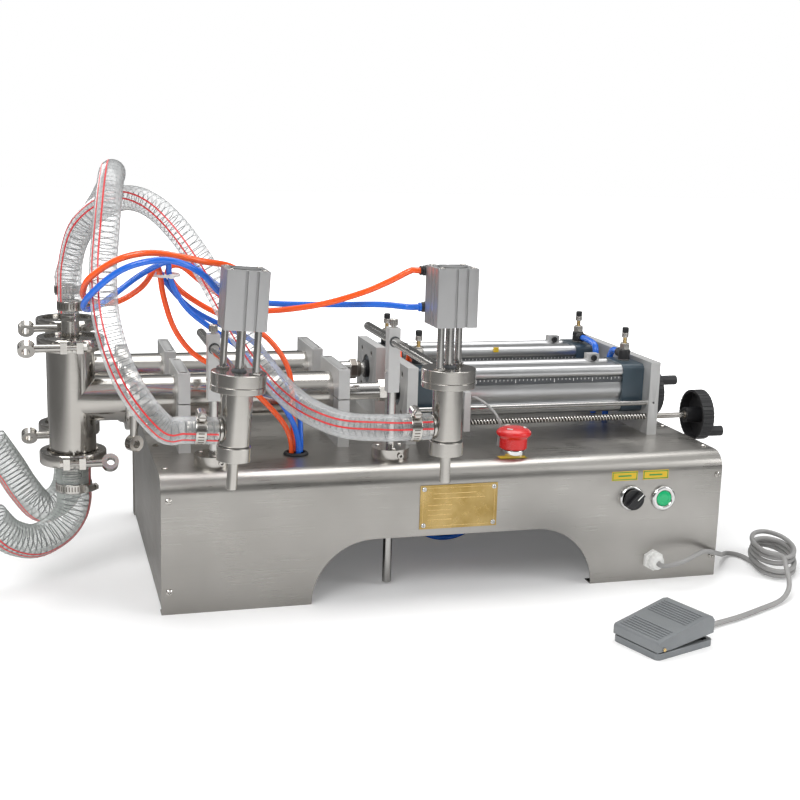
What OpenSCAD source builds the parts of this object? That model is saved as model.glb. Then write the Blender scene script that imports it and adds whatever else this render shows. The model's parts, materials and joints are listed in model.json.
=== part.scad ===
// Two-head horizontal piston liquid filler.
// Millimetres, +Z up, +X towards the handwheels, +Y towards the back.
// The origin is the centre of the housing's footprint on the floor.

/* [Housing] */
// Overall width of the sheet housing
body_w = 650; // [646:1:656]
// Overall depth of the sheet housing
body_d = 380; // [376:1:386]
// Height of the housing top above the floor
body_h = 150; // [146:1:156]
// Sheet thickness
sheet = 1.5; // [1:0.5:2]
// Outer bend radius along the top edges
bend_r = 20; // [12:1:24]
// Corner radius of the arch in the front panel
arch_r = 70; // [55:1:72]

/* [Cylinders] */
// Distance of the front cylinder axis from the front panel
axis_y = 146; // [144:1:150]
// Spacing between the front and the rear cylinder axes
axis_pitch = 142; // [140:1:144]
// Height of the cylinder axes above the housing top
axis_h = 55; // [55:0.5:56]
// Outer diameter of the product cylinders
prod_d = 50; // [48:0.5:50]
// Bore of the air cylinders
drive_bore = 50; // [46:1:50]
// Height of the clamp blocks and the plates
plate_h = 90; // [88:1:94]

/* [Filling heads] */
// Distance of the left post from the left end of the housing
post_left_x = 61; // [60:1:66]
// Distance of the right post from the left end of the housing
post_right_x = 258; // [250:1:258]
// Reach of the left head from its post to the spout axis
reach_left = 171; // [165:1:175]
// Reach of the right head from its post to the spout axis
reach_right = 196; // [190:1:200]
// Height of the left reach rod above the floor
rod_left_z = 277; // [275:1:279]
// Height of the right reach rod above the floor
rod_right_z = 281; // [279:1:283]
// Sideways lean of the left head on its rod in degrees
lean_left = 3.5; // [0:0.5:4]
// Diameter of the posts and of the reach rods
post_d = 10; // [9:0.5:10]
// Diameter of the filling spouts
spout_d = 10.6; // [10:0.2:11]

/* [Volume adjustment] */
// Diameter of the lead screws
screw_d = 8; // [7:0.5:8]
// Diameter of the handwheels
wheel_d = 62; // [56:1:64]

/* [Hidden] */
$fn = 48;

ay = [axis_y, axis_y + axis_pitch];
az = body_h + axis_h;
top = body_h;
plate_top = body_h + plate_h;
blk_y = 98;
blk_d = 96;
blk_x = [29.8, 210.2];
blk_t = 13.2;
pl_x = 291.7;
pl_t = 12.5;
pr_x = 600;
pr_t = 12.6;
cap_a = 60;
cap_l = 28;
bar_x0 = pl_x + pl_t + cap_l;
bar_x1 = pr_x - cap_l;
tee_x = -82;
tee_l = 64;
tee_r = 25.5;
ferrule_r = 32;
tube_x0 = tee_x + tee_l;
scr_y = [105, 247];
scr_z = 172;
gd_z = 189;
post_y = 46;
wheel_x = [663, 669];
ped_c = [490.8, -178.4];
ped_a = 18.7;
port = 13.8;
rs_x = [[pl_x + pl_t + port, ay[0]], [pr_x - port, ay[0]], [pl_x + pl_t + port, ay[1]],
  [pr_x - port, ay[1]]];
estop_p = [400, 34];
grommet_p = [157, 75];
sel_p = [535, 101];
but_p = [575.5, 99];
gland_p = [567, 25];
nz_l = [post_left_x, post_y - reach_left, rod_left_z - 107];
nz_r = [post_right_x, post_y - reach_right, rod_right_z - 107];

function arc(cx, cy, r, a0, a1, n) =
  [for (i = [0 : n]) let (a = a0 + (a1 - a0) * i / n) [cx + r * cos(a), cy + r * sin(a)]];
function rrect(w, d, r, n) = concat(
  arc(w / 2 - r, d / 2 - r, r, 0, 90, n), arc(-w / 2 + r, d / 2 - r, r, 90, 180, n),
  arc(-w / 2 + r, -d / 2 + r, r, 180, 270, n), arc(w / 2 - r, -d / 2 + r, r, 270, 360, n));
function unit(v) = v / norm(v);
function cr(a, b, c, d, t) = 0.5 * (2 * b + (c - a) * t
  + (2 * a - 5 * b + 4 * c - d) * t * t + (3 * b - a - 3 * c + d) * t * t * t);
function smooth(p, n) = let (k = len(p) - 1) concat(
  [for (i = [0 : k - 1]) for (j = [0 : n - 1])
    cr(p[max(i - 1, 0)], p[i], p[i + 1], p[min(i + 2, k)], j / n)], [p[k]]);
function tangents(p) = let (k = len(p) - 1)
  [for (i = [0 : k]) unit(p[min(i + 1, k)] - p[max(i - 1, 0)])];
function carry(t, i, n) = i >= len(t) ? []
  : let (m = unit(n - (n * t[i]) * t[i])) concat([m], carry(t, i + 1, m));

// A point of a filling head, leaning about its reach rod
function head(p, lean, x, z) = p + [x * cos(lean) + (z - 107) * sin(lean), 0,
  107 - x * sin(lean) + (z - 107) * cos(lean)];

// Middle of the overall box, from the housing's front left bottom corner
mid_x = 290.5;
mid_y = 87.5;

// Origin at the housing's front left bottom corner for everything below
module place() { translate([-mid_x, -mid_y, 0]) children(); }
module at_x(x, y, z) { translate([x, y, z]) rotate([0, 90, 0]) children(); }
module rod_x(x0, x1, y, z, r) { at_x(x0, y, z) cylinder(r = r, h = x1 - x0); }
module rod_y(x, y0, y1, z, r) { translate([x, y1, z]) rotate([90, 0, 0]) cylinder(r = r, h = y1 - y0); }

// Soft round hose or cable along waypoints, hollow when ri is above zero
module hose(way, ro, ri, sides, steps, start) {
  p = smooth(way, steps);
  t = tangents(p);
  nn = carry(t, 0, start);
  k = len(p);
  m = sides;
  function ring(r) = [for (i = [0 : k - 1]) for (j = [0 : m - 1])
    let (b = cross(t[i], nn[i])) p[i] + r * (cos(360 * j / m) * nn[i] + sin(360 * j / m) * b)];
  function skin(o, s) = [for (i = [0 : k - 2]) for (j = [0 : m - 1])
    let (a = o + i * m + j, b = o + i * m + (j + 1) % m)
    for (f = s ? [[a, a + m, b + m], [a, b + m, b]] : [[a, b + m, a + m], [a, b, b + m]]) f];
  function lid(o, q, s) = [for (j = [0 : m - 1])
    let (a = o + j, b = o + (j + 1) % m, c = q + j, d = q + (j + 1) % m)
    for (f = s ? [[a, b, d], [a, d, c]] : [[a, d, b], [a, c, d]]) f];
  last = (k - 1) * m;
  if (ri > 0)
    polyhedron(points = concat(ring(ro), ring(ri)),
      faces = concat(skin(0, true), skin(k * m, false),
        lid(0, k * m, true), lid(last, k * m + last, false)));
  else
    polyhedron(points = ring(ro),
      faces = concat(skin(0, true), [[for (j = [0 : m - 1]) j]],
        [[for (j = [m - 1 : -1 : 0]) last + j]]));
}

module pan_head(r, h) {
  difference() {
    union() {
      cylinder(r = r, h = h * 0.55);
      translate([0, 0, h * 0.55]) cylinder(r1 = r, r2 = r * 0.6, h = h * 0.45);
    }
    for (a = [0, 90]) rotate(a) translate([-r * 0.55, -r * 0.12, h * 0.5]) cube([r * 1.1, r * 0.24, h]);
  }
}
// Socket head screw whose head top is at z = 0
module socket_screw(rh, hh, rs, ls) {
  difference() {
    union() {
      translate([0, 0, -hh]) cylinder(r = rh, h = hh);
      translate([0, 0, -hh - ls]) cylinder(r = rs, h = ls + 1);
    }
    translate([0, 0, -hh * 0.6]) cylinder(r = rh * 0.56, h = hh, $fn = 6);
  }
}

/* ---------- housing ---------- */
module housing_shell() {
  lip = 15;
  color("gainsboro") place() difference() {
    rotate([90, 0, 90]) linear_extrude(body_w) polygon(concat([[lip, 0], [0, 0]],
      arc(bend_r, body_h - bend_r, bend_r, 180, 90, 8),
      arc(body_d - bend_r, body_h - bend_r, bend_r, 90, 0, 8),
      [[body_d, 0], [body_d - lip, 0], [body_d - lip, sheet], [body_d - sheet, sheet]],
      arc(body_d - bend_r, body_h - bend_r, bend_r - sheet, 0, 90, 8),
      arc(bend_r, body_h - bend_r, bend_r - sheet, 90, 180, 8),
      [[sheet, sheet], [lip, sheet]]));
    translate([0, 25, 0]) rotate([90, 0, 0]) linear_extrude(30) polygon(concat([[161, -1]],
      arc(161 + arch_r, 0, arch_r, 180, 90, 16), arc(490 - arch_r, 0, arch_r, 90, 0, 16), [[490, -1]]));
    for (q = [sel_p, but_p]) rod_y(q[0], -1, 5, q[1], 11.15);
    rod_y(gland_p[0], -1, 5, gland_p[1], 8.1);
    for (x = [post_left_x, post_right_x]) translate([x, post_y, top - 5]) cylinder(r = 6.5, h = 10);
    translate([estop_p[0], estop_p[1], top - 5]) cylinder(r = 11.15, h = 10);
    translate([grommet_p[0], grommet_p[1], top - 5]) cylinder(r = 11, h = 10);
    rod_y(560, body_d - 5, body_d + 1, 40, 6.6);
    rod_y(600, body_d - 5, body_d + 1, 40, 5.1);
  }
}
module side_panels() {
  g = sheet + 0.3;
  color("gainsboro") place() for (x = [1.5, body_w - 3])
    translate([x, 0, 0]) rotate([90, 0, 90]) linear_extrude(1.5) polygon(concat(
      [[g, g]], arc(bend_r, body_h - bend_r, bend_r - g, 180, 90, 6),
      arc(body_d - bend_r, body_h - bend_r, bend_r - g, 90, 0, 6), [[body_d - g, g]]));
}
module fasteners() {
  color("silver") place() {
    for (x = [8.3, body_w - 6]) for (z = [25, 124])
      translate([x, 0, z]) rotate([90, 0, 0]) pan_head(3.6, 2.2);
    for (x = [8, body_w - 8]) for (y = [33.5, 137, 245, 345]) translate([x, y, top]) pan_head(3.6, 2.2);
    for (x = blk_x) for (y = [blk_y, blk_y + axis_pitch]) for (q = [8, blk_d - 8])
      translate([x + blk_t / 2, y + q, plate_top - 1]) socket_screw(3.9, 3.6, 2, 52);
    for (y = ay) for (dy = [-23.2, 23.2]) for (dz = [-23.2, 23.2])
      translate([pl_x + 0.6, y + dy, az + dz]) rotate([0, -90, 0]) socket_screw(3.9, 4, 2, 6.2);
    for (x = [post_left_x, post_right_x]) for (a = [30, 150, 270]) rotate_about([x, post_y], a)
      translate([x + 14.5, post_y, top + 12]) pan_head(2.4, 1.4);
  }
}
module rotate_about(c, a) { translate([c[0], c[1], 0]) rotate(a) translate([-c[0], -c[1], 0])
  children(); }
module nameplate_and_labels() {
  color("goldenrod") place() {
    translate([280.5, -1, 78]) cube([90, 1, 50]);
    for (x = [285, 366]) for (z = [82.5, 123.5]) translate([x, -1, z]) rotate([90, 0, 0]) pan_head(2.4,
      1.4);
    for (x = [509, 548]) translate([x, -0.4, 122]) cube([32.5, 0.4, 11]);
    difference() {
      translate([378.5, 16, top]) cube([32, 11, 0.5]);
      translate([estop_p[0], estop_p[1], top - 1]) cylinder(r = 14.3, h = 3);
    }
  }
}
module clamp_block(lower) {
  difference() {
    translate([0, 0, lower ? 0 : axis_h + 0.5])
      cube([blk_t, blk_d, lower ? axis_h - 0.5 : plate_h - axis_h - 0.5]);
    at_x(-1, axis_y - blk_y, axis_h) cylinder(r = prod_d / 2 + 0.02, h = blk_t + 2);
    for (q = [8, blk_d - 8]) translate([blk_t / 2, q, 0]) {
      if (lower) translate([0, 0, 30]) cylinder(r = 2.1, h = 40);
      else translate([0, 0, 30]) {
        cylinder(r = 2.1, h = 70);
        translate([0, 0, plate_h - 30 - 5]) cylinder(r = 4.1, h = 10);
      }
    }
  }
}
module clamp_blocks_lower() {
  color("lightgray") place() for (x = blk_x) for (y = [blk_y, blk_y + axis_pitch])
    translate([x, y, top]) clamp_block(true);
}
module clamp_blocks_upper() {
  color("lightgray") place() for (x = blk_x) for (y = [blk_y, blk_y + axis_pitch])
    translate([x, y, top]) clamp_block(false);
}

/* ---------- product side ---------- */
module ferrule_end() {
  cylinder(r = ferrule_r, h = 3);
  translate([0, 0, 3]) cylinder(r1 = ferrule_r, r2 = 26.2, h = 1.7);
}
module product_tubes() {
  color("silver") place() for (y = ay) translate([tube_x0, y, az]) rotate([0, 90, 0]) difference() {
    union() {
      cylinder(r = prod_d / 2, h = blk_x[1] + blk_t - tube_x0);
      ferrule_end();
    }
    translate([0, 0, -1]) cylinder(r = prod_d / 2 - 1.5, h = 300);
  }
}
module tees() {
  color("silver") place() for (y = ay) translate([tee_x, y, az]) difference() {
    union() {
      translate([0, 0, -tee_l]) cylinder(r = tee_r, h = 2 * tee_l);
      rotate([0, 90, 0]) cylinder(r = tee_r - 0.3, h = tee_l);
      translate([0, 0, -tee_l]) ferrule_end();
      translate([0, 0, tee_l]) mirror([0, 0, 1]) ferrule_end();
      translate([tee_l, 0, 0]) rotate([0, -90, 0]) ferrule_end();
    }
    translate([0, 0, -tee_l - 1]) cylinder(r = tee_r - 1.6, h = 2 * tee_l + 2);
    rotate([0, 90, 0]) cylinder(r = prod_d / 2 - 1.5, h = tee_l + 1);
  }
}
// Wing nut on a clamp bolt, k further out
module wing_nut(k) {
  difference() {
    union() {
      translate([-30 - k, -40.5, 0]) rotate([0, 90, 0]) cylinder(r = 4.4, h = 17.9 + k);
      translate([-38 - k, -40.5, 0]) rotate([-58, 0, 0]) cylinder(r = 9.2, h = 9.6, center = true);
    }
    translate([-38.6 - k, -40.5, 0]) rotate([-58, 0, 0]) cylinder(r = 4.4, h = 24, center = true);
    translate([-17, -40.5, 0]) rotate([0, 90, 0]) cylinder(r = 2.65, h = 10);
  }
}
module tri_clamps() {
  color("silver") place() for (y = ay) translate([tee_x, y, az]) {
    translate([0, 0, tee_l]) { clamp_ring(); wing_nut(9); }
    translate([0, 0, -tee_l]) rotate([0, y == ay[0] ? 180 : 0, 0]) { clamp_ring(); wing_nut(y == ay[0]
      ? 0 : 9); }
    translate([tee_l, 0, 0]) rotate([0, -90, 0]) { clamp_ring(); wing_nut(5); }
  }
}
// Ring round a ferrule joint, axis Z, bolt in front along X with the wing on -X
module clamp_ring() {
  difference() {
    union() {
      rotate_extrude() polygon([[28.4, -7], [35.6, -7], [36.4, -5.5], [36.4, 5.5], [35.6, 7], [28.4, 7],
        [28.4, 4.35], [32.25, 3.15], [32.25, -3.15], [28.4, -4.35]]);
      for (x = [-12, 5]) difference() {
        translate([x, -44, -6]) cube([7, 11, 12]);
        cylinder(r = 34, h = 14, center = true);
      }
      for (s = [-1, 1]) translate([s * 5.5, 37.5, -6.5]) cylinder(r = 3, h = 13);
    }
    translate([-1.2, -46, -8]) cube([2.4, 22, 16]);
    translate([-1.2, 24, -8]) cube([2.4, 22, 16]);
    translate([-14, -40.5, 0]) rotate([0, 90, 0]) cylinder(r = 2.7, h = 28);
  }
  translate([-16, -40.5, 0]) rotate([0, 90, 0]) cylinder(r = 2.6, h = 28.4);
  translate([12.2, -40.5, 0]) rotate([0, 90, 0]) cylinder(r = 4.2, h = 3.4, $fn = 6);
}
// Hose tail with a ferrule at z = 0 and barbs towards +Z
module hose_tail(ro, ri, len) {
  difference() {
    union() {
      ferrule_end();
      cylinder(r = ro, h = len);
      for (k = [0 : 3]) translate([0, 0, len - 5 - 6 * k]) cylinder(r1 = ro + 0.5, r2 = ro, h = 4);
    }
    translate([0, 0, -1]) cylinder(r = ri, h = len + 2);
  }
}
// Ball cage: a seat ring, two uprights and a stop bar above the ball
module ball_cage() {
  difference() {
    cylinder(r = 23.7, h = 5);
    translate([0, 0, -1]) cylinder(r = 11, h = 8);
  }
  for (s = [-1, 1]) translate([s * 18.5 - 2, -2, 4]) cube([4, 4, 44]);
  translate([-20.5, -2, 46]) cube([41, 4, 3]);
}
module hose_adapters() {
  color("silver") place() for (y = ay) translate([tee_x, y, az]) {
    translate([0, 0, tee_l]) hose_tail(9.6, 7.6, 47);
    translate([0, 0, -tee_l]) mirror([0, 0, 1]) hose_tail(15.4, 13, 42);
    translate([0, 0, 8]) ball_cage();
    translate([0, 0, -tee_l + 2]) ball_cage();
  }
}
// Worm drive clamp round a hose, axis Z
module worm_clamp(r) {
  difference() {
    union() {
      cylinder(r = r + 1, h = 11);
      translate([-6, -r - 8, 0.5]) cube([13, 8.6, 10]);
    }
    translate([0, 0, -1]) cylinder(r = r + 0.15, h = 14);
  }
  translate([7.1, -r - 4.3, 5.5]) rotate([0, 90, 0]) cylinder(r = 3.8, h = 5);
}
module hose_clamps() {
  color("silver") place() for (y = ay) translate([tee_x, y, az]) {
    translate([0, 0, tee_l + 35.5]) rotate(60) worm_clamp(13);
    translate([0, 0, -tee_l - 40]) rotate(45) worm_clamp(19.2);
  }
}
out_z = az + tee_l + 33;
module outlet_hose_front() {
  color([0.85, 0.9, 0.95, 0.5]) place() hose([
    for (z = [0, 8, 16, 24]) [tee_x, ay[0], out_z + z], [-80, 142, 358], [-70, 130, 394],
    [-49, 110, 418], [-25, 85, 430], [-2, 55, 425], [20, 30, 405], [43, 8, 372], [62, -2, 337],
    [81, -6, 301], [104, -25, 265], [131, -70, 238], [162, -118, 228],
    for (x = [-63, -51, -39, -28, -17]) head(nz_r, 0, x, 56.5)],
    12.9, 10.6, 14, 3, [0, 1, 0]);
}
module outlet_hose_rear() {
  color([0.85, 0.9, 0.95, 0.5]) place() hose([
    for (z = [0, 8, 16, 24]) [tee_x, ay[1], out_z + z], [-75, 280, 348], [-68, 262, 371],
    [-58, 236, 394], [-47, 205, 415], [-39, 170, 434], [-36, 120, 449], [-39, 60, 457], [-43, 20, 454],
    [-48, -14, 434], [-53, -42, 402], [-57, -64, 368], [-56, -84, 328], [-46, -102, 289], [-30, -116, 257],
    for (x = [-65, -51, -39, -28, -17]) head(nz_l, lean_left, x, 56.5)],
    12.9, 10.6, 14, 3, [0, 1, 0]);
}
module suction_hoses() {
  bz = az - tee_l - 9;
  color([0.85, 0.9, 0.88, 0.6]) place() {
    hose([for (z = [0, 12, 24, 33, 41]) [tee_x, ay[0], bz - z], [-87, 144, 74], [-101, 138, 58],
      [-127, 124, 50],
      [-154, 110, 63], [-172, 98, 88]], 19, 16.5, 16, 4, [0, 1, 0]);
    hose([for (z = [0, 12, 24, 33, 41]) [tee_x, ay[1], bz - z], [-86, 282, 68], [-98, 275, 52],
      [-118, 266, 48],
      [-138, 259, 74], [-153, 254, 102], [-174, 247, 138]], 19, 16.5, 16, 4, [0, 1, 0]);
  }
}

/* ---------- air cylinders ---------- */
module drive_plates() {
  color("lightgray") place() {
    for (i = [0, 1]) translate([pl_x, blk_y + i * axis_pitch, top]) difference() {
      cube([pl_t, blk_d, plate_h]);
      at_x(-1, axis_y - blk_y, axis_h) cylinder(r = 18.4, h = pl_t + 2);
      for (dy = [-23.2, 23.2]) for (dz = [-23.2, 23.2]) at_x(-1, axis_y - blk_y + dy, axis_h + dz) {
        cylinder(r = 2.1, h = pl_t + 2);
        cylinder(r = 4.1, h = 6.2);
      }
      at_x(4.5, scr_y[0] - blk_y, scr_z - top) cylinder(r = 3.05, h = pl_t);
    }
    translate([pr_x, blk_y, top]) difference() {
      cube([pr_t, 238, plate_h]);
      for (i = [0, 1]) at_x(-1, scr_y[i] - blk_y, scr_z - top) cylinder(r = 3.4, h = pr_t + 2);
      for (i = [0, 1]) translate([pr_t / 2, scr_y[i] - blk_y, gd_z - top + 1]) rotate([90, 0, 0])
        cylinder(r = 1.4, h = 20);
    }
  }
}
module end_cap(rod) {
  difference() {
    rotate([0, 90, 0]) linear_extrude(cap_l) polygon(rrect(cap_a, cap_a, 7, 5));
    at_x(-1, 0, 0) cylinder(r = rod ? 8.05 : 6, h = rod ? cap_l + 2 : 8);
    translate([port, 0, cap_a / 2 - 8]) cylinder(r = 4.6, h = 10);
  }
}
module drive_end_caps() {
  color([0.2, 0.27, 0.32]) place() for (y = ay) {
    translate([pl_x + pl_t, y, az]) end_cap(true);
    translate([pr_x, y, az]) mirror([1, 0, 0]) end_cap(false);
  }
}
module drive_barrels() {
  color("silver") place() for (y = ay) at_x(bar_x0, y, az) difference() {
    union() {
      cylinder(r = drive_bore / 2 + 2.5, h = bar_x1 - bar_x0);
      for (sx = [-1, 1]) for (sy = [-1, 1]) translate([sx * 21.3, sy * 21.3, 0])
        cylinder(r = 7.9, h = bar_x1 - bar_x0);
    }
    translate([0, 0, -1]) cylinder(r = drive_bore / 2, h = 300);
  }
}
module rod_glands() {
  color([0.12, 0.14, 0.15]) place() for (y = ay) difference() {
    union() {
      rod_x(293.5, pl_x + pl_t - 0.1, y, az, 17.6);
      rod_x(288, 294, y, az, 11.5);
    }
    rod_x(280, 320, y, az, 8.05);
  }
}
module sensor_clips() {
  color("lightgray") place() for (q = [[545, ay[0]],
    [551, ay[1]]]) translate([q[0], q[1] + 21.3, az + 21.3]) {
    difference() {
      translate([0, 0, 0]) union() {
        rotate([0, 90, 0]) cylinder(r = 10.2, h = 15);
        translate([0, -6.5, 4]) cube([15, 13, 10.5]);
      }
      translate([-1, 0, 0]) rotate([0, 90, 0]) cylinder(r = 8, h = 17);
      translate([-1, -20, -20]) cube([17, 40, 16.5]);
      translate([-1, -40, -20]) cube([17, 34, 40]);
      translate([7.5, -7, 9.6]) rotate([-90, 0, 0]) cylinder(r = 2.6, h = 4);
    }
  }
}
module guide_rods() {
  color("silver") place() for (i = [0, 1])
    rod_x(i == 0 ? pl_x + pl_t : pl_x + pl_t, pr_x, scr_y[i], gd_z, 3);
}
module flow_valves() {
  color([0.12, 0.12, 0.13]) place() for (i = [0 : 3]) translate([rs_x[i][0], rs_x[i][1], az + cap_a /
    2]) {
    side = i > 1 ? 90 : -90;
    difference() {
      union() {
        translate([0, 0, -7.8]) cylinder(r = 4.5, h = 10);
        cylinder(r = 7.4, h = 14);
        translate([0, 0, 14]) cylinder(r = 6.6, h = 8, $fn = 6);
        translate([0, 0, 8]) rotate([side, 0, 0]) cylinder(r = 5.6, h = 14.5);
      }
      translate([0, 0, 15]) cylinder(r = 2.55, h = 12);
      translate([0, 0, -9]) cylinder(r = 2, h = 12);
      translate([0, i > 1 ? -8.5 : 8.5, 8]) rotate([side, 0, 0]) cylinder(r = 4.15, h = 8);
    }
  }
}
module needle_knob(i) {
  color("goldenrod") place() translate([rs_x[i][0], rs_x[i][1], az + cap_a / 2]) {
    translate([0, 0, 16.5]) cylinder(r = 2.5, h = 13.5);
    translate([0, 0, 29]) cylinder(r = 4.2, h = 6);
    translate([0, 0, 35]) cylinder(r = 3.6, h = 6.5);
  }
}
module needle_knob_1() { needle_knob(0); }
module needle_knob_2() { needle_knob(1); }
module needle_knob_3() { needle_knob(2); }
module needle_knob_4() { needle_knob(3); }

/* ---------- pistons ---------- */
module piston(y) {
  color("silver") place() union() {
    difference() {
      rod_x(178, 206, y, az, prod_d / 2 - 1.56);
      for (x = [184, 196]) difference() {
        rod_x(x, x + 4, y, az, 30);
        rod_x(x - 1, x + 5, y, az, prod_d / 2 - 4);
      }
    }
    rod_x(205, 270, y, az, 10);
    at_x(269, y, az) cylinder(r = 13, h = 9, $fn = 6);
    rod_x(277, 545, y, az, 8);
    rod_x(541, 566, y, az, drive_bore / 2 - 0.05);
  }
}
module piston_front() { piston(ay[0]); }
module piston_rear() { piston(ay[1]); }

/* ---------- volume adjustment ---------- */
module lead_screw(i) {
  color("silver") place() {
    rod_x(pl_x + 5.5, pl_x + pl_t + 0.3, scr_y[i], scr_z, 3);
    rod_x(pl_x + pl_t + 0.2, pr_x - 0.2, scr_y[i], scr_z, screw_d / 2);
    rod_x(pr_x - 0.3, wheel_x[i] - 1, scr_y[i], scr_z, 3.35);
  }
}
module lead_screw_front() { lead_screw(0); }
module lead_screw_rear() { lead_screw(1); }
module handwheel(i, a) {
  color([0.1, 0.1, 0.1]) place() at_x(wheel_x[i], scr_y[i], scr_z) rotate(a) difference() {
    union() {
      difference() {
        cylinder(r = wheel_d / 2, h = 15);
        translate([0, 0, -1]) cylinder(r = wheel_d / 2 - 3, h = 12.5);
        for (k = [0 : 35]) rotate(k * 10) translate([wheel_d / 2 + 0.6, 0, -1]) 
          cylinder(r = 1.2, h = 20, $fn = 8);
      }
      translate([0, 0, -10]) cylinder(r = 9.5, h = 23);
      translate([21.5, 0, 14]) cylinder(r = 4.5, h = 4);
      translate([21.5, 0, 17]) cylinder(r = 6.4, h = 22);
    }
    translate([0, 0, -20]) cylinder(r = 3.4, h = 32.4);
  }
}
module handwheel_front() { handwheel(0, -20); }
module handwheel_rear() { handwheel(1, 215); }
module carriage(i) {
  color("lightgray") place() difference() {
    translate([361, scr_y[i] - 9, 163]) cube([8, 19, 47]);
    rod_x(350, 380, scr_y[i], scr_z, screw_d / 2 + 0.05);
    rod_x(350, 380, scr_y[i], gd_z, 3.05);
  }
}
module carriage_front() { carriage(0); }
module carriage_rear() { carriage(1); }

/* ---------- filling heads ---------- */
module post_collars() {
  color("silver") place() for (x = [post_left_x, post_right_x]) translate([x, post_y, top]) difference() {
    cylinder(r = 21, h = 12);
    translate([0, 0, -1]) cylinder(r = post_d / 2 + 0.05, h = 15);
    translate([6, -22, 6]) rotate([-90, 0, 0]) cylinder(r = 3.2, h = 8);
  }
  color("silver") place() for (x = [post_left_x, post_right_x])
    translate([x + 6, post_y - 16, top + 6]) rotate([90, 0, 0]) difference() {
      cylinder(r = 3.1, h = 7);
      translate([0, 0, 4]) cylinder(r = 1.8, h = 5, $fn = 6);
    }
}
module post(x, z) { color("silver") place() translate([x, post_y, 4]) cylinder(r = post_d / 2, h = z - 4); }
module post_left() { post(post_left_x, 248); }
module post_right() { post(post_right_x, 249); }
module cross_block(x, zr) {
  color("lightgray") place() translate([x, post_y, zr - 56.5]) difference() {
    union() {
      translate([-6.6, -7.5, 0]) cube([13.2, 15, 71.5]);
      translate([0, 0, 71]) cylinder(r = 2.4, h = 3);
      translate([0, 0, 73.5]) cylinder(r = 4.6, h = 7.5);
    }
    translate([0, 0, -1]) cylinder(r = post_d / 2 + 0.05, h = 32);
    rod_y(0, -10, 10, 56.5, post_d / 2 + 0.05);
  }
}
module cross_block_left() { cross_block(post_left_x, rod_left_z); }
module cross_block_right() { cross_block(post_right_x, rod_right_z); }
module at_head(p, lean) {
  place() translate([p[0], p[1], p[2] + 107]) rotate([0, lean, 0]) translate([0, 0, -107]) children();
}
module nozzle(p, lean, back, q) {
  color("silver") {
    at_head(p, lean) {
      difference() {
        union() {
          translate([0, 0, 101.3]) cylinder(r = 26, h = 12);
          for (s = [-1, 1]) translate([s * 13.3, s * q * 13.3, 112]) cylinder(r = 3.4, h = 42);
          rod_y(0, 20, 20 + back, 107, post_d / 2);
        }
        translate([0, 0, 90]) cylinder(r = 4.35, h = 40);
      }
      difference() {
        union() {
          translate([0, 0, 95]) cylinder(r = 26, h = 6.2);
          translate([0, 0, 43]) cylinder(r = 14.6, h = 53);
          at_x(-46, 0, 56.5) cylinder(r = 9.6, h = 40);
        }
        translate([0, 0, 40]) cylinder(r = 12, h = 70);
        at_x(-50, 0, 56.5) cylinder(r = 7.6, h = 45);
      }
      difference() {
        union() {
          translate([0, 0, 28.5]) cylinder(r = 16.5, h = 14);
          cylinder(r = spout_d / 2, h = 30);
        }
        translate([0, 0, 34]) cylinder(r = 12, h = 10);
        translate([0, 0, -1]) cylinder(r = 4, h = 40);
      }
      at_x(-38, 0, 56.5) rotate(-80) worm_clamp(13);
    }
  }
}
module nozzle_left() { nozzle(nz_l, lean_left, 255, -1); }
module nozzle_right() { nozzle(nz_r, 0, 287, 1); }
fit_z = [168, 203];
module nozzle_cylinder(p, lean, elbow) {
  color("silver") at_head(p, lean) {
    difference() {
      translate([-20, -20, 154.1]) cube([40, 40, 56]);
      translate([0, 0, 150]) cylinder(r = 4.35, h = 20);
      translate([0, 0, 162]) cylinder(r = 12.5, h = 42);
      for (a = [0 : 90 : 270]) rotate(a) for (y = [-1.5, 8.5])
        translate([18.2, y - 1.2, 150]) cube([4, 2.4, 64]);
      translate([0, 0, 208]) cylinder(r = 13.6, h = 5);
      for (z = fit_z) translate([elbow ? -12 : 0, 21, z]) rotate([90, 0, 0]) cylinder(r = 3, h = 5);
    }
    for (z = fit_z) difference() {
      if (elbow) union() {
        translate([-18, 20.1, z - 5]) cube([12, 11, 10]);
        at_x(-24, 25.6, z) cylinder(r = 4.9, h = 7);
      }
      else translate([0, 29, z]) rotate([90, 0, 0]) cylinder(r = 4.9, h = 8.9);
      if (elbow) at_x(-30, 25.6, z) cylinder(r = 3.15, h = 13);
      else translate([0, 30, z]) rotate([90, 0, 0]) cylinder(r = 3.15, h = 8);
    }
  }
}
module nozzle_cylinder_left() { nozzle_cylinder(nz_l, lean_left, false); }
module nozzle_cylinder_right() { nozzle_cylinder(nz_r, 0, true); }
module nozzle_stem(p, lean) {
  color("silver") at_head(p, lean) {
    translate([0, 0, 40]) cylinder(r = 4.3, h = 126);
    translate([0, 0, 34.1]) cylinder(r = 7, h = 10);
    translate([0, 0, 163]) cylinder(r = 12.45, h = 12);
  }
}
module nozzle_stem_left() { nozzle_stem(nz_l, lean_left); }
module nozzle_stem_right() { nozzle_stem(nz_r, 0); }

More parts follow.
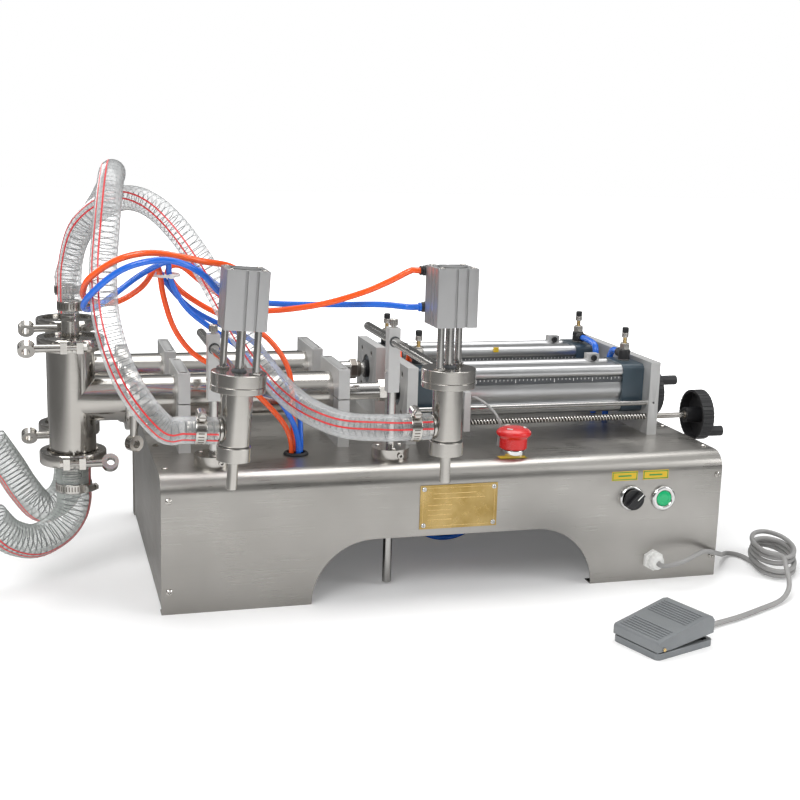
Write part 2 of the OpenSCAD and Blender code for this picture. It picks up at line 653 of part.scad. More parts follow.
/* ---------- air tubes and cables ---------- */
gz = top + 2;
module orange_air_tubes() {
  g = grommet_p;
  color([1, 0.33, 0.1]) place() {
    hose([[g[0] - 5.3, g[1] - 1.9, gz], [g[0] - 7, g[1] - 2.5, 168], [140, 72, 189], [110, 71, 222],
      [78, 70, 246], [44, 70, 266], [23, 70, 294], [12, 70, 328], [8, 68, 352], [3, 61, 360],
        [-12, 42, 343],
      [-38, 22, 330], [-61, -10, 334], [-73, -42, 342], [-75, -64, 353], [-69, -84, 367], [-46, -105, 385],
      [-18, -113, 392], [10, -108, 388], [31, -100, 383], [46, -89, 380], [57, -78, 377], [64, -74, 374],
      for (y = [44, 37, 30, 24]) head(nz_l, lean_left, 0, fit_z[1]) + [0, y, 0]], 3, 0, 8, 3, [0, 1, 0]);
    hose([[g[0] - 1.9, g[1] + 5.3, gz], [g[0] - 2, g[1] + 7, 172], [153, 82, 222], [148, 82, 247],
      [136, 82, 268], [118, 82, 286], [88, 80, 300], [56, 80, 316], [28, 78, 336], [17, 77, 356],
      [31, 76, 360], [54, 68, 342], [88, 38, 321], [110, -6, 323], [150, -54, 335], [184, -91, 351],
      [206, -114, 365], for (x = [-33, -27, -20]) head(nz_r, 0, x, fit_z[1]) + [0, 25.6, 0]],
      3, 0, 8, 3, [0, 1, 0]);
    for (i = [0, 2]) valve_tube(rs_x[i], i > 1 ? -1 : 1);
    translate([346, 120, 99]) rotate([90, 0, 0]) rotate_extrude() translate([38, 0]) circle(r = 3, $fn
      = 24);
  }
}
// Tube from a flow valve down through the gap between the cylinders
module valve_tube(q, s) {
  w = s > 0 ? 43 : 62;
  hose([for (t = [[9.5, 0], [14, 0], [20, 0], [30, 0], [w - 8, -3], [w - 2, -14], [w, -34], [w, -60],
    [w, top + 1 - az - cap_a / 2 - 8]]) [q[0], q[1] + s * t[0], az + cap_a / 2 + 8 + t[1]]], 4, 0, 8,
      4, [1, 0, 0]);
}
module blue_air_tubes() {
  g = grommet_p;
  color([0.1, 0.35, 0.9]) place() {
    hose([[g[0] + 1.9, g[1] - 5.3, gz], [g[0], g[1] - 8, 170], [147, 62, 196], [118, 60, 240],
      [90, 60, 274], [64, 60, 293], [38, 61, 314], [23, 61, 336], [17, 60, 353], [13, 54, 366],
        [-15, 35, 355],
      [-42, 5, 340], [-63, -30, 331], [-75, -59, 335], [-70, -87, 351], [-44, -112, 376],
        [-14, -121, 386],
      [10, -117, 383], [31, -106, 371], [45, -92, 356], [56, -79, 346], [63, -74, 340],
      for (y = [44, 37, 30, 24]) head(nz_l, lean_left, 0, fit_z[0]) + [0, y, 0]], 3, 0, 8, 3, [0, 1, 0]);
    hose([[g[0] + 5.3, g[1] + 1.9, gz], [g[0] + 6, g[1] + 4, 166], [161, 90, 206], [142, 92, 238],
      [124, 92, 262], [104, 92, 280], [76, 90, 294], [44, 88, 312], [22, 82, 334], [8, 77, 356],
      [11, 79, 368], [24, 79, 371], [44, 76, 361], [64, 64, 344], [88, 48, 330], [114, 6, 329],
      [166, -44, 334], [202, -97, 341], [219, -119, 342],
      for (x = [-33, -27, -20]) head(nz_r, 0, x, fit_z[0]) + [0, 25.6, 0]], 3, 0, 8, 3, [0, 1, 0]);
    for (i = [1, 3]) valve_tube(rs_x[i], i > 1 ? -1 : 1);
    translate([359, 140, 73.5]) rotate([90, 0, 0]) rotate_extrude() translate([55, 0]) circle(r = 3, $fn
      = 24);
  }
}
module tube_grommet() {
  color([0.05, 0.05, 0.05]) place() {
    translate([grommet_p[0], grommet_p[1], top - 3]) difference() {
      union() {
        cylinder(r = 10.9, h = 6);
        translate([0, 0, 3.05]) cylinder(r = 13, h = 2);
      }
      translate([0, 0, -1]) cylinder(r = 9.9, h = 9);
    }
    translate([13, 69, 350]) difference() {
      cylinder(r = 16.2, h = 3);
      translate([0, 0, -1]) cylinder(r = 15, h = 6);
    }
  }
}
module panel_fittings() {
  color("silver") place() {
    for (q = [sel_p, but_p]) {
      difference() {
        union() {
          rod_y(q[0], -4, -0.05, q[1], 14.8);
          rod_y(q[0], -1, 40, q[1], 11);
        }
        rod_y(q[0], -6, 20, q[1], 9.05);
      }
      difference() {
        rod_y(q[0], sheet + 0.1, sheet + 5, q[1], 14);
        rod_y(q[0], 0, 10, q[1], 11.1);
      }
    }
    translate([estop_p[0], estop_p[1], top]) difference() {
      union() {
        cylinder(r = 14.2, h = 7.5);
        translate([0, 0, -40]) cylinder(r = 11, h = 42);
      }
      translate([0, 0, -12]) cylinder(r = 8.05, h = 30);
    }
    difference() {
      union() {
        rod_y(gland_p[0], -1.5, 10, gland_p[1], 8);
        translate([gland_p[0], -0.05, gland_p[1]]) rotate([90, 0, 0]) cylinder(r = 12.6, h = 6, $fn = 6);
        rod_y(gland_p[0], -18, -6, gland_p[1], 9.4);
      }
      rod_y(gland_p[0], -20, 12, gland_p[1], 3.1);
    }
    difference() {
      union() {
        rod_y(560, body_d - 14, body_d + 2, 40, 6.5);
        translate([560, body_d + 8.05, 40]) rotate([90, 0, 0]) cylinder(r = 9, h = 8, $fn = 6);
        rod_y(560, body_d + 8, body_d + 16, 40, 7.2);
      }
      rod_y(560, body_d - 20, body_d + 20, 40, 4.05);
    }
    difference() {
      union() {
        rod_y(600, body_d - 10, body_d + 2, 40, 5);
        translate([600, body_d + 8.05, 40]) rotate([90, 0, 0]) cylinder(r = 8, h = 8, $fn = 6);
        rod_y(600, body_d + 8, body_d + 14, 40, 6);
      }
      rod_y(600, body_d - 20, body_d + 20, 40, 3.5);
    }
  }
}
// Turns of an elongated coil lying on the floor, rising one cable width a turn
function coil(n, w0, c, a, b, tilt) = [for (i = [0 : n * 8]) let (w = w0 + 45 * i, r = 1 + 0.14 *
  sin(97 * i / 8))
  c + [a * r * cos(w) * cos(tilt) - b * sin(w) * sin(tilt),
    a * r * cos(w) * sin(tilt) + b * r * sin(w) * cos(tilt), 6.4 * i / 8]];
module pedal_cable() {
  color("gray") place() hose(concat([[gland_p[0], -13, gland_p[1]], [gland_p[0], -20, gland_p[1]],
    [gland_p[0] + 4, -29, gland_p[1] + 1], [590, -34, 32], [622, -22, 38], [654, 0, 26], [680, 34, 12],
    [700, 56, 5], [714, 52, 3]],
    coil(4.25, 90, [738, 16, 3.5], 50, 24, 68), [[709, -58, 26], [698, -84, 12], [676, -104, 5],
    [640, -122, 4.2], [600, -140, 4.2], [566, -151.6, 4.2]], [for (x = [46, 41.5]) ped_pt(x, 0, 4.2)]),
    2.8, 0, 7, 3, [0, 0, 1]);
}
module sensor_cables() {
  color("gray") place() for (i = [0, 1]) let (y = scr_y[i])
    hose(i == 0 ? [[371, y - 3, 203], [376, y - 8, 203], [386, 82, 196], [393, 66, 184], [395, 66, 168],
      [394, 68, top + 2]] : [[371, y - 3, 203], [376, y - 8, 203], [384, 222, 192], [390, 212, 172],
      [392, 208, top + 2]], 1.6, 0, 6, 4, [0, 0, 1]);
}
function ped_pt(x, y, z) = [ped_c[0] + x * cos(ped_a) - y * sin(ped_a),
  ped_c[1] + x * sin(ped_a) + y * cos(ped_a), z];
module ped(z) { place() translate([ped_c[0], ped_c[1], z]) rotate(ped_a) children(); }
module pedal_base() {
  color("gray") ped(0) {
    difference() {
      linear_extrude(7) polygon(rrect(80, 63, 5, 4));
      translate([0, 0, 3]) linear_extrude(10) polygon(rrect(72, 55, 3, 3));
      at_x(30, 0, 4.2) cylinder(r = 2.95, h = 20);
    }
    for (s = [-1, 1]) difference() {
      translate([-36, s * 24 - 2, 2.9]) cube([9, 4, 12]);
      rod_y(-31.5, -40, 40, 10.5, 2.05);
    }
    rod_y(-31.5, -32.6, 32.6, 10.5, 2);
    translate([20, 0, 2.9]) cylinder(r = 6, h = 9);
  }
}
module pedal() {
  color("gray") ped(0) difference() {
    rotate([90, 0, 0]) translate([0, 0, -31.5]) linear_extrude(63)
      polygon([[-40, 8.2], [-40, 17], [-38.5, 19], [30, 33], [36, 32.5], [40, 28], [40, 14], [-20, 8.2]]);
    rotate([90, 0, 0]) translate([0, 0, -28.5]) linear_extrude(57)
      polygon([[-37, 5], [-37, 16], [30, 29.6], [37, 27], [37, 5]]);
    rod_y(-31.5, -40, 40, 10.5, 2.05);
  }
}

/* ---------- inside and controls ---------- */
module internal_controls() {
  color([0.2, 0.35, 0.6]) place() {
    for (i = [0 : 1]) translate([190 + 34 * i, 150, top - sheet - 30]) {
      cube([24, 92, 30]);
      translate([4, 30, -14]) cube([16, 22, 13.9]);
    }
    translate([470, 150, top - sheet - 52]) cube([86, 70, 52]);
    translate([580, 180, top - sheet - 42]) cube([48, 70, 42]);
    translate([120, 250, top - sheet - 40]) cylinder(r = 18, h = 40);
    translate([120, 250, top - sheet - 92]) cylinder(r = 16, h = 51.9);
  }
}
module estop_button() {
  color("red") place() translate([estop_p[0], estop_p[1], top]) {
    translate([0, 0, -6]) cylinder(r = 8, h = 23);
    difference() {
      translate([0, 0, 7.6]) cylinder(r = 15.8, h = 15);
      translate([0, 0, 7]) cylinder(r = 14.5, h = 9);
    }
    translate([0, 0, 20]) cylinder(r1 = 15.8, r2 = 20, h = 4);
    translate([0, 0, 23.9]) cylinder(r = 20, h = 2.6);
    translate([0, 0, 26.4]) cylinder(r1 = 20, r2 = 16.5, h = 3.6);
    translate([0, 0, 29.9]) cylinder(r1 = 16.5, r2 = 10, h = 2.1);
  }
}
module selector_knob() {
  color([0.1, 0.1, 0.1]) place() translate([sel_p[0], 0, sel_p[1]]) rotate([90, 0, 0]) {
    translate([0, 0, -14]) cylinder(r = 9, h = 21);
    rotate(-45) translate([-3.6, -11, 6]) cube([7.2, 22, 10]);
  }
}
module start_button() {
  color("green") place() translate([but_p[0], 0, but_p[1]]) rotate([90, 0, 0]) {
    translate([0, 0, -10]) cylinder(r = 9, h = 13.6);
  }
}
module ball(y, z) { color("white") place() translate([tee_x, y, az + z + 5 + 8.72]) sphere(r = 14, $fn
  = 40); }
module inlet_ball_front() { ball(ay[0], -tee_l + 2); }
module outlet_ball_front() { ball(ay[0], 8); }
module inlet_ball_rear() { ball(ay[1], -tee_l + 2); }
module outlet_ball_rear() { ball(ay[1], 8); }

housing_shell();
side_panels();
fasteners();
nameplate_and_labels();
clamp_blocks_lower();
clamp_blocks_upper();
product_tubes();
tees();
tri_clamps();
hose_adapters();
hose_clamps();
outlet_hose_front();
outlet_hose_rear();
suction_hoses();
drive_plates();
drive_end_caps();
drive_barrels();
rod_glands();
sensor_clips();
guide_rods();
flow_valves();
orange_air_tubes();
blue_air_tubes();
tube_grommet();
post_collars();
panel_fittings();
pedal_cable();
sensor_cables();
pedal_base();
internal_controls();
piston_front();
piston_rear();
lead_screw_front();
lead_screw_rear();
handwheel_front();
handwheel_rear();
carriage_front();
carriage_rear();
post_left();
post_right();
cross_block_left();
cross_block_right();
nozzle_left();
nozzle_right();
nozzle_cylinder_left();
nozzle_cylinder_right();
nozzle_stem_left();
nozzle_stem_right();
needle_knob_1();
needle_knob_2();
needle_knob_3();
needle_knob_4();
inlet_ball_front();
outlet_ball_front();
inlet_ball_rear();
outlet_ball_rear();
estop_button();
selector_knob();
start_button();
pedal();
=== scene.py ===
import bisect
import json
import math

import bmesh
import bpy
from mathutils import Matrix, Vector


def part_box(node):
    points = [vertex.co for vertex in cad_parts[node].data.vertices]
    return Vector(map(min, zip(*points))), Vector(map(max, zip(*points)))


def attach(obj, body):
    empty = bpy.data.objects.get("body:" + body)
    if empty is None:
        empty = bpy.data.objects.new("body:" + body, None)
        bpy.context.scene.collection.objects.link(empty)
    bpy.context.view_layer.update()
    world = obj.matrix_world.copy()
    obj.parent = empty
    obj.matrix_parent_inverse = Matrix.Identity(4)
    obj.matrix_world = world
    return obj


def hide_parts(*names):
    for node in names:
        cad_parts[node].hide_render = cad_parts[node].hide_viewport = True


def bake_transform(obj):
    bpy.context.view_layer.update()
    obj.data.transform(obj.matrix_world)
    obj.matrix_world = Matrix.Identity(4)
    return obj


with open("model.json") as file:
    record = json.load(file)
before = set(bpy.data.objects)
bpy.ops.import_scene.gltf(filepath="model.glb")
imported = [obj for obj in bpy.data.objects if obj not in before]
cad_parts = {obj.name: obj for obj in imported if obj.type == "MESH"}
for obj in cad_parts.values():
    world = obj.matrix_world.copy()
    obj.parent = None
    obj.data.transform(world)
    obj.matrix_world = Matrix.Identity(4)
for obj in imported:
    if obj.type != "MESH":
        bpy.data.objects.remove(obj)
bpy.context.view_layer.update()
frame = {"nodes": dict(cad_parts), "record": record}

MM = 0.001
NODES = frame["nodes"]
MOUNTS = {m["name"]: m for m in frame["record"]["mounts"]}
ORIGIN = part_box("housing_shell")[0]
TAU = 2 * math.pi
X, Y, Z = (1, 0, 0), (0, 1, 0), (0, 0, 1)
LEFT, FRONT, DOWN = (-1, 0, 0), (0, -1, 0), (0, 0, -1)

# Places on the machine, in millimetres from the housing's front left bottom corner
TOP, BACK = 150, 380  # the housing's top and back
ROWS = {"front": 146, "rear": 288}  # y of the two cylinder axes
AXIS_Z = 205  # height of the cylinder axes
SCREW_Z, SCREW_DY = 172, -41  # height of the lead screws, and how far each is in front of its cylinder
TEE_X = -82
TEE_TOP, TEE_FOOT = 304.5, 101  # where the hose clamps sit on the tees
POST_Y = 46
PLATE_X, PLATE_Z = 325.5, 103  # middle of the nameplate
ESTOP, SELECTOR, START, GLAND = (400, 34), (535, 101), (575.5, 99), (567, 25)
CABLE_INLET, AIR_INLET = (560, 40), (600, 40)
GROMMET, TIE_RING = (157, 75), (13, 69, 350)


# ---------- places ----------
def P(x, y, z):
    """A point given in millimetres from the housing's front left bottom corner."""
    return ORIGIN + Vector((x, y, z)) * MM


def basis(x, y, z, o):
    """Matrix with these axes, at o."""
    return Matrix([(x[i], y[i], z[i], o[i]) for i in range(3)] + [(0, 0, 0, 1)])


def place(o, z_dir=Z, x_hint=None):
    """Matrix from local millimetres, with local Z along z_dir, to the row frame."""
    z = Vector(z_dir).normalized()
    x = Vector(x_hint or (Z if abs(z.z) < 0.9 else X))
    x = (x - z * x.dot(z)).normalized()
    return basis(x, z.cross(x), z, o) @ Matrix.Diagonal((MM, MM, MM, 1))


def at(x, y, z, d=Z, hint=None):
    return place(P(x, y, z), d, hint)


def on_front(x, z):
    """Local Z out of the front panel, local X along it."""
    return at(x, 0, z, FRONT, X)


def turned(o, z_dir, x_dir):
    """Matrix inside a local frame in millimetres: its origin, and where its own Z and X point."""
    z, x = Vector(z_dir), Vector(x_dir)
    return basis(x, z.cross(x), z, o)


def local(p):
    """Row-frame point to housing-corner millimetres."""
    return (p - ORIGIN) / MM


# ---------- materials ----------
class Mat:
    """A material, and short ways to add nodes; a value may be another node's output."""

    def __init__(self, name):
        self.m = bpy.data.materials.new(name)
        self.m.use_nodes = True
        self.t = self.m.node_tree
        self.b = self.t.nodes["Principled BSDF"]

    def new(self, kind, ins=None, **props):
        n = self.t.nodes.new(kind)
        for k, v in props.items():
            setattr(n, k, v)
        for k, v in (ins or {}).items():
            if hasattr(v, "is_output"):
                self.t.links.new(v, n.inputs[k])
            else:
                n.inputs[k].default_value = v
        return n

    def put(self, k, v):
        if hasattr(v, "is_output"):
            self.t.links.new(v, self.b.inputs[k])
        else:
            self.b.inputs[k].default_value = v

    def coords(self, stretch=(1, 1, 1)):
        tc = self.new("ShaderNodeTexCoord")
        mp = self.new("ShaderNodeMapping", {"Vector": tc.outputs["Object"], "Scale": stretch})
        return mp.outputs["Vector"]

    def noise(self, scale, stretch=(1, 1, 1), detail=3.0, rough=0.55):
        n = self.new("ShaderNodeTexNoise", {"Vector": self.coords(stretch), "Scale": scale,
                                            "Detail": detail, "Roughness": rough})
        return n.outputs["Fac"]

    def span(self, fac, lo, hi, a=0.3, b=0.7):
        n = self.new("ShaderNodeMapRange", {"Value": fac, "From Min": a, "From Max": b,
                                            "To Min": lo, "To Max": hi})
        return n.outputs["Result"]

    def mix(self, fac, c1, c2):
        n = self.new("ShaderNodeMix", data_type="RGBA")
        for k, v in (("Factor", fac), ("A", c1), ("B", c2)):
            kind = "VALUE" if k == "Factor" else "RGBA"
            s = [i for i in n.inputs if i.name == k and i.type == kind][0]
            if hasattr(v, "is_output"):
                self.t.links.new(v, s)
            else:
                s.default_value = v
        return [o for o in n.outputs if o.type == "RGBA"][0]

    def bump(self, *layers):
        normal = None
        for height, strength, dist in layers:
            ins = {"Height": height, "Strength": strength, "Distance": dist}
            if normal is not None:
                ins["Normal"] = normal
            normal = self.new("ShaderNodeBump", ins).outputs["Normal"]
        self.put("Normal", normal)


def rgb(r, g, b):
    return (r, g, b, 1.0)


def finish(name, c1, c2, metal, rough, patch, fine, stretch=(1, 1, 1), bump=0.1, depth=0.0001, wear=0.0,
           **extra):
    """One surface. Its colour drifts between c1 and c2 in patches, roughness and bump follow a finer grain.

    patch and fine are how often each noise repeats in a metre, stretch pulls the grain out along an axis,
    depth is the height of the bump in metres, and wear brightens the edges.
    """
    m = Mat(name)
    big = m.noise(patch, detail=4)
    grain = m.noise(fine, stretch, detail=2, rough=0.6)
    col = m.mix(m.span(big, 0, 1), rgb(*c1), rgb(*c2))
    if wear:
        geo = m.new("ShaderNodeNewGeometry")
        edge = m.span(geo.outputs["Pointiness"], 0, wear, 0.51, 0.58)
        col = m.mix(edge, col, rgb(*[min(1, 1.5 * v + 0.06) for v in c2]))
    m.put("Base Color", col)
    m.put("Metallic", metal)
    both = m.new("ShaderNodeMath", {0: grain, 1: m.noise(patch * 3.1, detail=3)}, operation="ADD").outputs[0]
    m.put("Roughness", m.span(both, rough[0], rough[1], 0.7, 1.3))
    m.bump((grain, bump, depth), (big, bump * 0.5, depth * 2))
    for k, v in extra.items():
        m.put(k.replace("_", " "), v)
    return m.m


SHEET = finish("brushed_sheet", (0.40, 0.385, 0.36), (0.49, 0.475, 0.45), 1.0, (0.24, 0.44), 5, 40,
               stretch=(0.22, 24, 24), bump=0.20, depth=0.0002, Anisotropic=0.55)
SHEET_SIDE = finish("brushed_side_sheet", (0.38, 0.365, 0.345), (0.47, 0.455, 0.43), 1.0, (0.28, 0.44), 6, 40,
                    stretch=(24, 0.25, 24), bump=0.20, depth=0.0002, Anisotropic=0.4)
TUBE = finish("polished_tube", (0.47, 0.45, 0.42), (0.57, 0.55, 0.515), 1.0, (0.10, 0.22), 9, 60,
              stretch=(0.4, 12, 12), bump=0.06)
STEEL = finish("polished_steel", (0.46, 0.44, 0.41), (0.60, 0.58, 0.545), 1.0, (0.10, 0.24), 22, 160,
               stretch=(1, 1, 6), bump=0.08, wear=0.3)
TURNED = finish("turned_steel", (0.47, 0.45, 0.42), (0.58, 0.56, 0.525), 1.0, (0.15, 0.22), 6, 30,
                stretch=(1, 1, 6), bump=0.006, depth=0.00005)
CHROME = finish("ground_rod", (0.50, 0.49, 0.47), (0.60, 0.59, 0.57), 1.0, (0.10, 0.20), 18, 300, bump=0.03)
BRIGHT = finish("bright_plate", (0.68, 0.68, 0.67), (0.78, 0.78, 0.77), 1.0, (0.06, 0.14), 18, 300, bump=0.03)
DARKSTEEL = finish("dark_steel", (0.13, 0.115, 0.10), (0.21, 0.19, 0.17), 1.0, (0.25, 0.45), 30, 500,
                   bump=0.15)
# The lead screw's steel comes in two copies: the crest is lighter than the other steels as a painted
# highlight, and the root is near black as painted shade.
SCREW_STEEL_AND_HIGHLIGHT = finish("thread_steel_painted_highlight", (0.62, 0.60, 0.56), (0.74, 0.72, 0.68), 1.0, (0.16, 0.28), 20, 400)
THREAD_ROOT_SHADE = finish("thread_root_painted_shade", (0.05, 0.045, 0.04), (0.09, 0.08, 0.07), 0.6, (0.4, 0.6), 20, 400)
BLAST = finish("blasted_aluminium", (0.40, 0.40, 0.395), (0.50, 0.50, 0.495), 0.65, (0.42, 0.58), 16, 1500,
               bump=0.6, depth=0.0003, wear=0.5)
FINNED = finish("satin_aluminium", (0.44, 0.44, 0.44), (0.53, 0.53, 0.53), 0.9, (0.30, 0.44), 10, 300,
                stretch=(1, 1, 0.2), bump=0.2, depth=0.0002, wear=0.3)
ANOD = finish("anodised_aluminium", (0.58, 0.585, 0.59), (0.64, 0.645, 0.65), 1.0, (0.28, 0.36), 7, 160,
              stretch=(0.15, 6, 6), bump=0.02)
SLATE = finish("slate_paint", (0.022, 0.040, 0.055), (0.036, 0.060, 0.080), 0.0, (0.28, 0.42), 14, 700,
               bump=0.18, depth=0.0002, wear=0.15, Coat_Weight=0.25)
BLACK = finish("black_plastic", (0.010, 0.010, 0.011), (0.020, 0.020, 0.022), 0.0, (0.32, 0.5), 20, 900,
               bump=0.25, depth=0.0002)
RUBBER = finish("black_rubber", (0.008, 0.008, 0.009), (0.016, 0.016, 0.017), 0.0, (0.5, 0.7), 26, 1200,
                bump=0.3, depth=0.0002)
BRASS = finish("brass", (0.62, 0.42, 0.16), (0.74, 0.54, 0.24), 1.0, (0.16, 0.32), 25, 400, stretch=(1, 1, 4))
GOLD = finish("gold_plate", (0.40, 0.265, 0.07), (0.60, 0.43, 0.17), 0.85, (0.24, 0.42), 34, 500,
              Coat_Weight=0.3)
YELLOW = finish("yellow_label", (0.62, 0.40, 0.015), (0.70, 0.47, 0.02), 0.0, (0.35, 0.5), 20, 900, bump=0.05,
                depth=0.0002)
GREENINK = finish("green_border", (0.05, 0.26, 0.05), (0.07, 0.32, 0.07), 0.0, (0.35, 0.5), 20, 900,
                  bump=0.05, depth=0.0002)
ORANGE = finish("orange_tube", (0.95, 0.085, 0.010), (1.0, 0.13, 0.015), 0.0, (0.13, 0.24), 10, 500,
                bump=0.05, Coat_Weight=0.4)
BLUE = finish("blue_tube", (0.010, 0.125, 0.62), (0.015, 0.165, 0.76), 0.0, (0.13, 0.24), 10, 500, bump=0.05,
              Coat_Weight=0.4)
CABLE = finish("grey_cable", (0.27, 0.265, 0.26), (0.34, 0.335, 0.33), 0.0, (0.42, 0.58), 14, 700, bump=0.2,
               depth=0.0002)
PEDAL = finish("grey_cast_paint", (0.155, 0.165, 0.172), (0.20, 0.212, 0.22), 0.1, (0.34, 0.48), 18, 900,
               bump=0.3, depth=0.0002, wear=0.25)
WHITE = finish("white_plastic", (0.74, 0.74, 0.72), (0.82, 0.82, 0.80), 0.0, (0.28, 0.42), 16, 700, bump=0.08,
               depth=0.0002)
RED = finish("red_plastic", (0.62, 0.010, 0.012), (0.74, 0.020, 0.020), 0.0, (0.18, 0.30), 16, 700, bump=0.06,
             Coat_Weight=0.3)
GREEN = finish("green_plastic", (0.0, 0.42, 0.15), (0.0, 0.60, 0.22), 0.0, (0.14, 0.25), 30, 300, bump=0.06,
               Coat_Weight=0.5)
REDINK = finish("red_stripe", (0.62, 0.02, 0.03), (0.75, 0.05, 0.05), 0.0, (0.3, 0.4), 10, 500, bump=0.05,
                depth=0.0002)
HELIX = finish("hose_cord", (0.10, 0.105, 0.11), (0.17, 0.175, 0.18), 0.0, (0.3, 0.45), 10, 500, bump=0.05,
               depth=0.0002)
BOARD = finish("control_plastic", (0.10, 0.13, 0.18), (0.15, 0.19, 0.25), 0.0, (0.35, 0.5), 12, 600,
               bump=0.15, depth=0.0002)
# Seal grey, also used for the painted shade rings round the cross blocks' bores.
SEAL_GREY_AND_GAP_SHADE = finish("grey_seal_and_gap_shade", (0.05, 0.055, 0.06), (0.08, 0.085, 0.09), 0.0, (0.4, 0.55), 20, 700, depth=0.0002)


def clear_hose(name, tint, alpha_face, alpha_edge):
    """Clear PVC: see-through face on, whiter and more solid towards its edges, with a slight haze."""
    m = Mat(name)
    lw = m.new("ShaderNodeLayerWeight", {"Blend": 0.42})
    haze = m.noise(30, detail=3)
    edge = m.span(lw.outputs["Facing"], alpha_face, alpha_edge, 0.05, 0.9)
    a = m.new("ShaderNodeMath", {0: edge, 1: m.span(haze, -0.05, 0.07)}, operation="ADD", use_clamp=True)
    m.put("Alpha", a.outputs[0])
    m.put("Base Color", m.mix(haze, rgb(*tint), rgb(*[min(1, v * 1.05) for v in tint])))
    m.put("Roughness", m.span(m.noise(180), 0.10, 0.22))
    m.put("Coat Weight", 0.6)
    m.put("Coat Roughness", 0.06)
    m.bump((m.noise(60), 0.05, 0.0002))
    return m.m


CLEAR = clear_hose("clear_hose", (0.74, 0.755, 0.755), 0.14, 0.74)
CLEAR_GREY = clear_hose("clear_suction_hose", (0.52, 0.565, 0.53), 0.32, 0.85)
# The bore is a darker grey copy of the clear PVC, painted shade inside the hose.
CLEAR_IN = clear_hose("clear_hose_bore_painted_shade", (0.62, 0.64, 0.64), 0.04, 0.26)


# ---------- mesh building ----------
def rounded(prof, r):
    """The profile with each clear corner replaced by a small three-point round."""
    if r <= 0 or len(prof) < 3:
        return list(prof)
    out = [prof[0]]
    for a, b, c in zip(prof, prof[1:], prof[2:]):
        u, v = Vector(a) - Vector(b), Vector(c) - Vector(b)
        if u.length < 1e-6 or v.length < 1e-6 or u.angle(v) > math.radians(160):
            out.append(b)
            continue
        k = min(r, u.length * 0.45, v.length * 0.45)
        p, q, w = Vector(b) + u.normalized() * k, Vector(b) + v.normalized() * k, Vector(b)
        out += [tuple(p), tuple(0.25 * p + 0.5 * w + 0.25 * q), tuple(q)]
    return out + [prof[-1]]


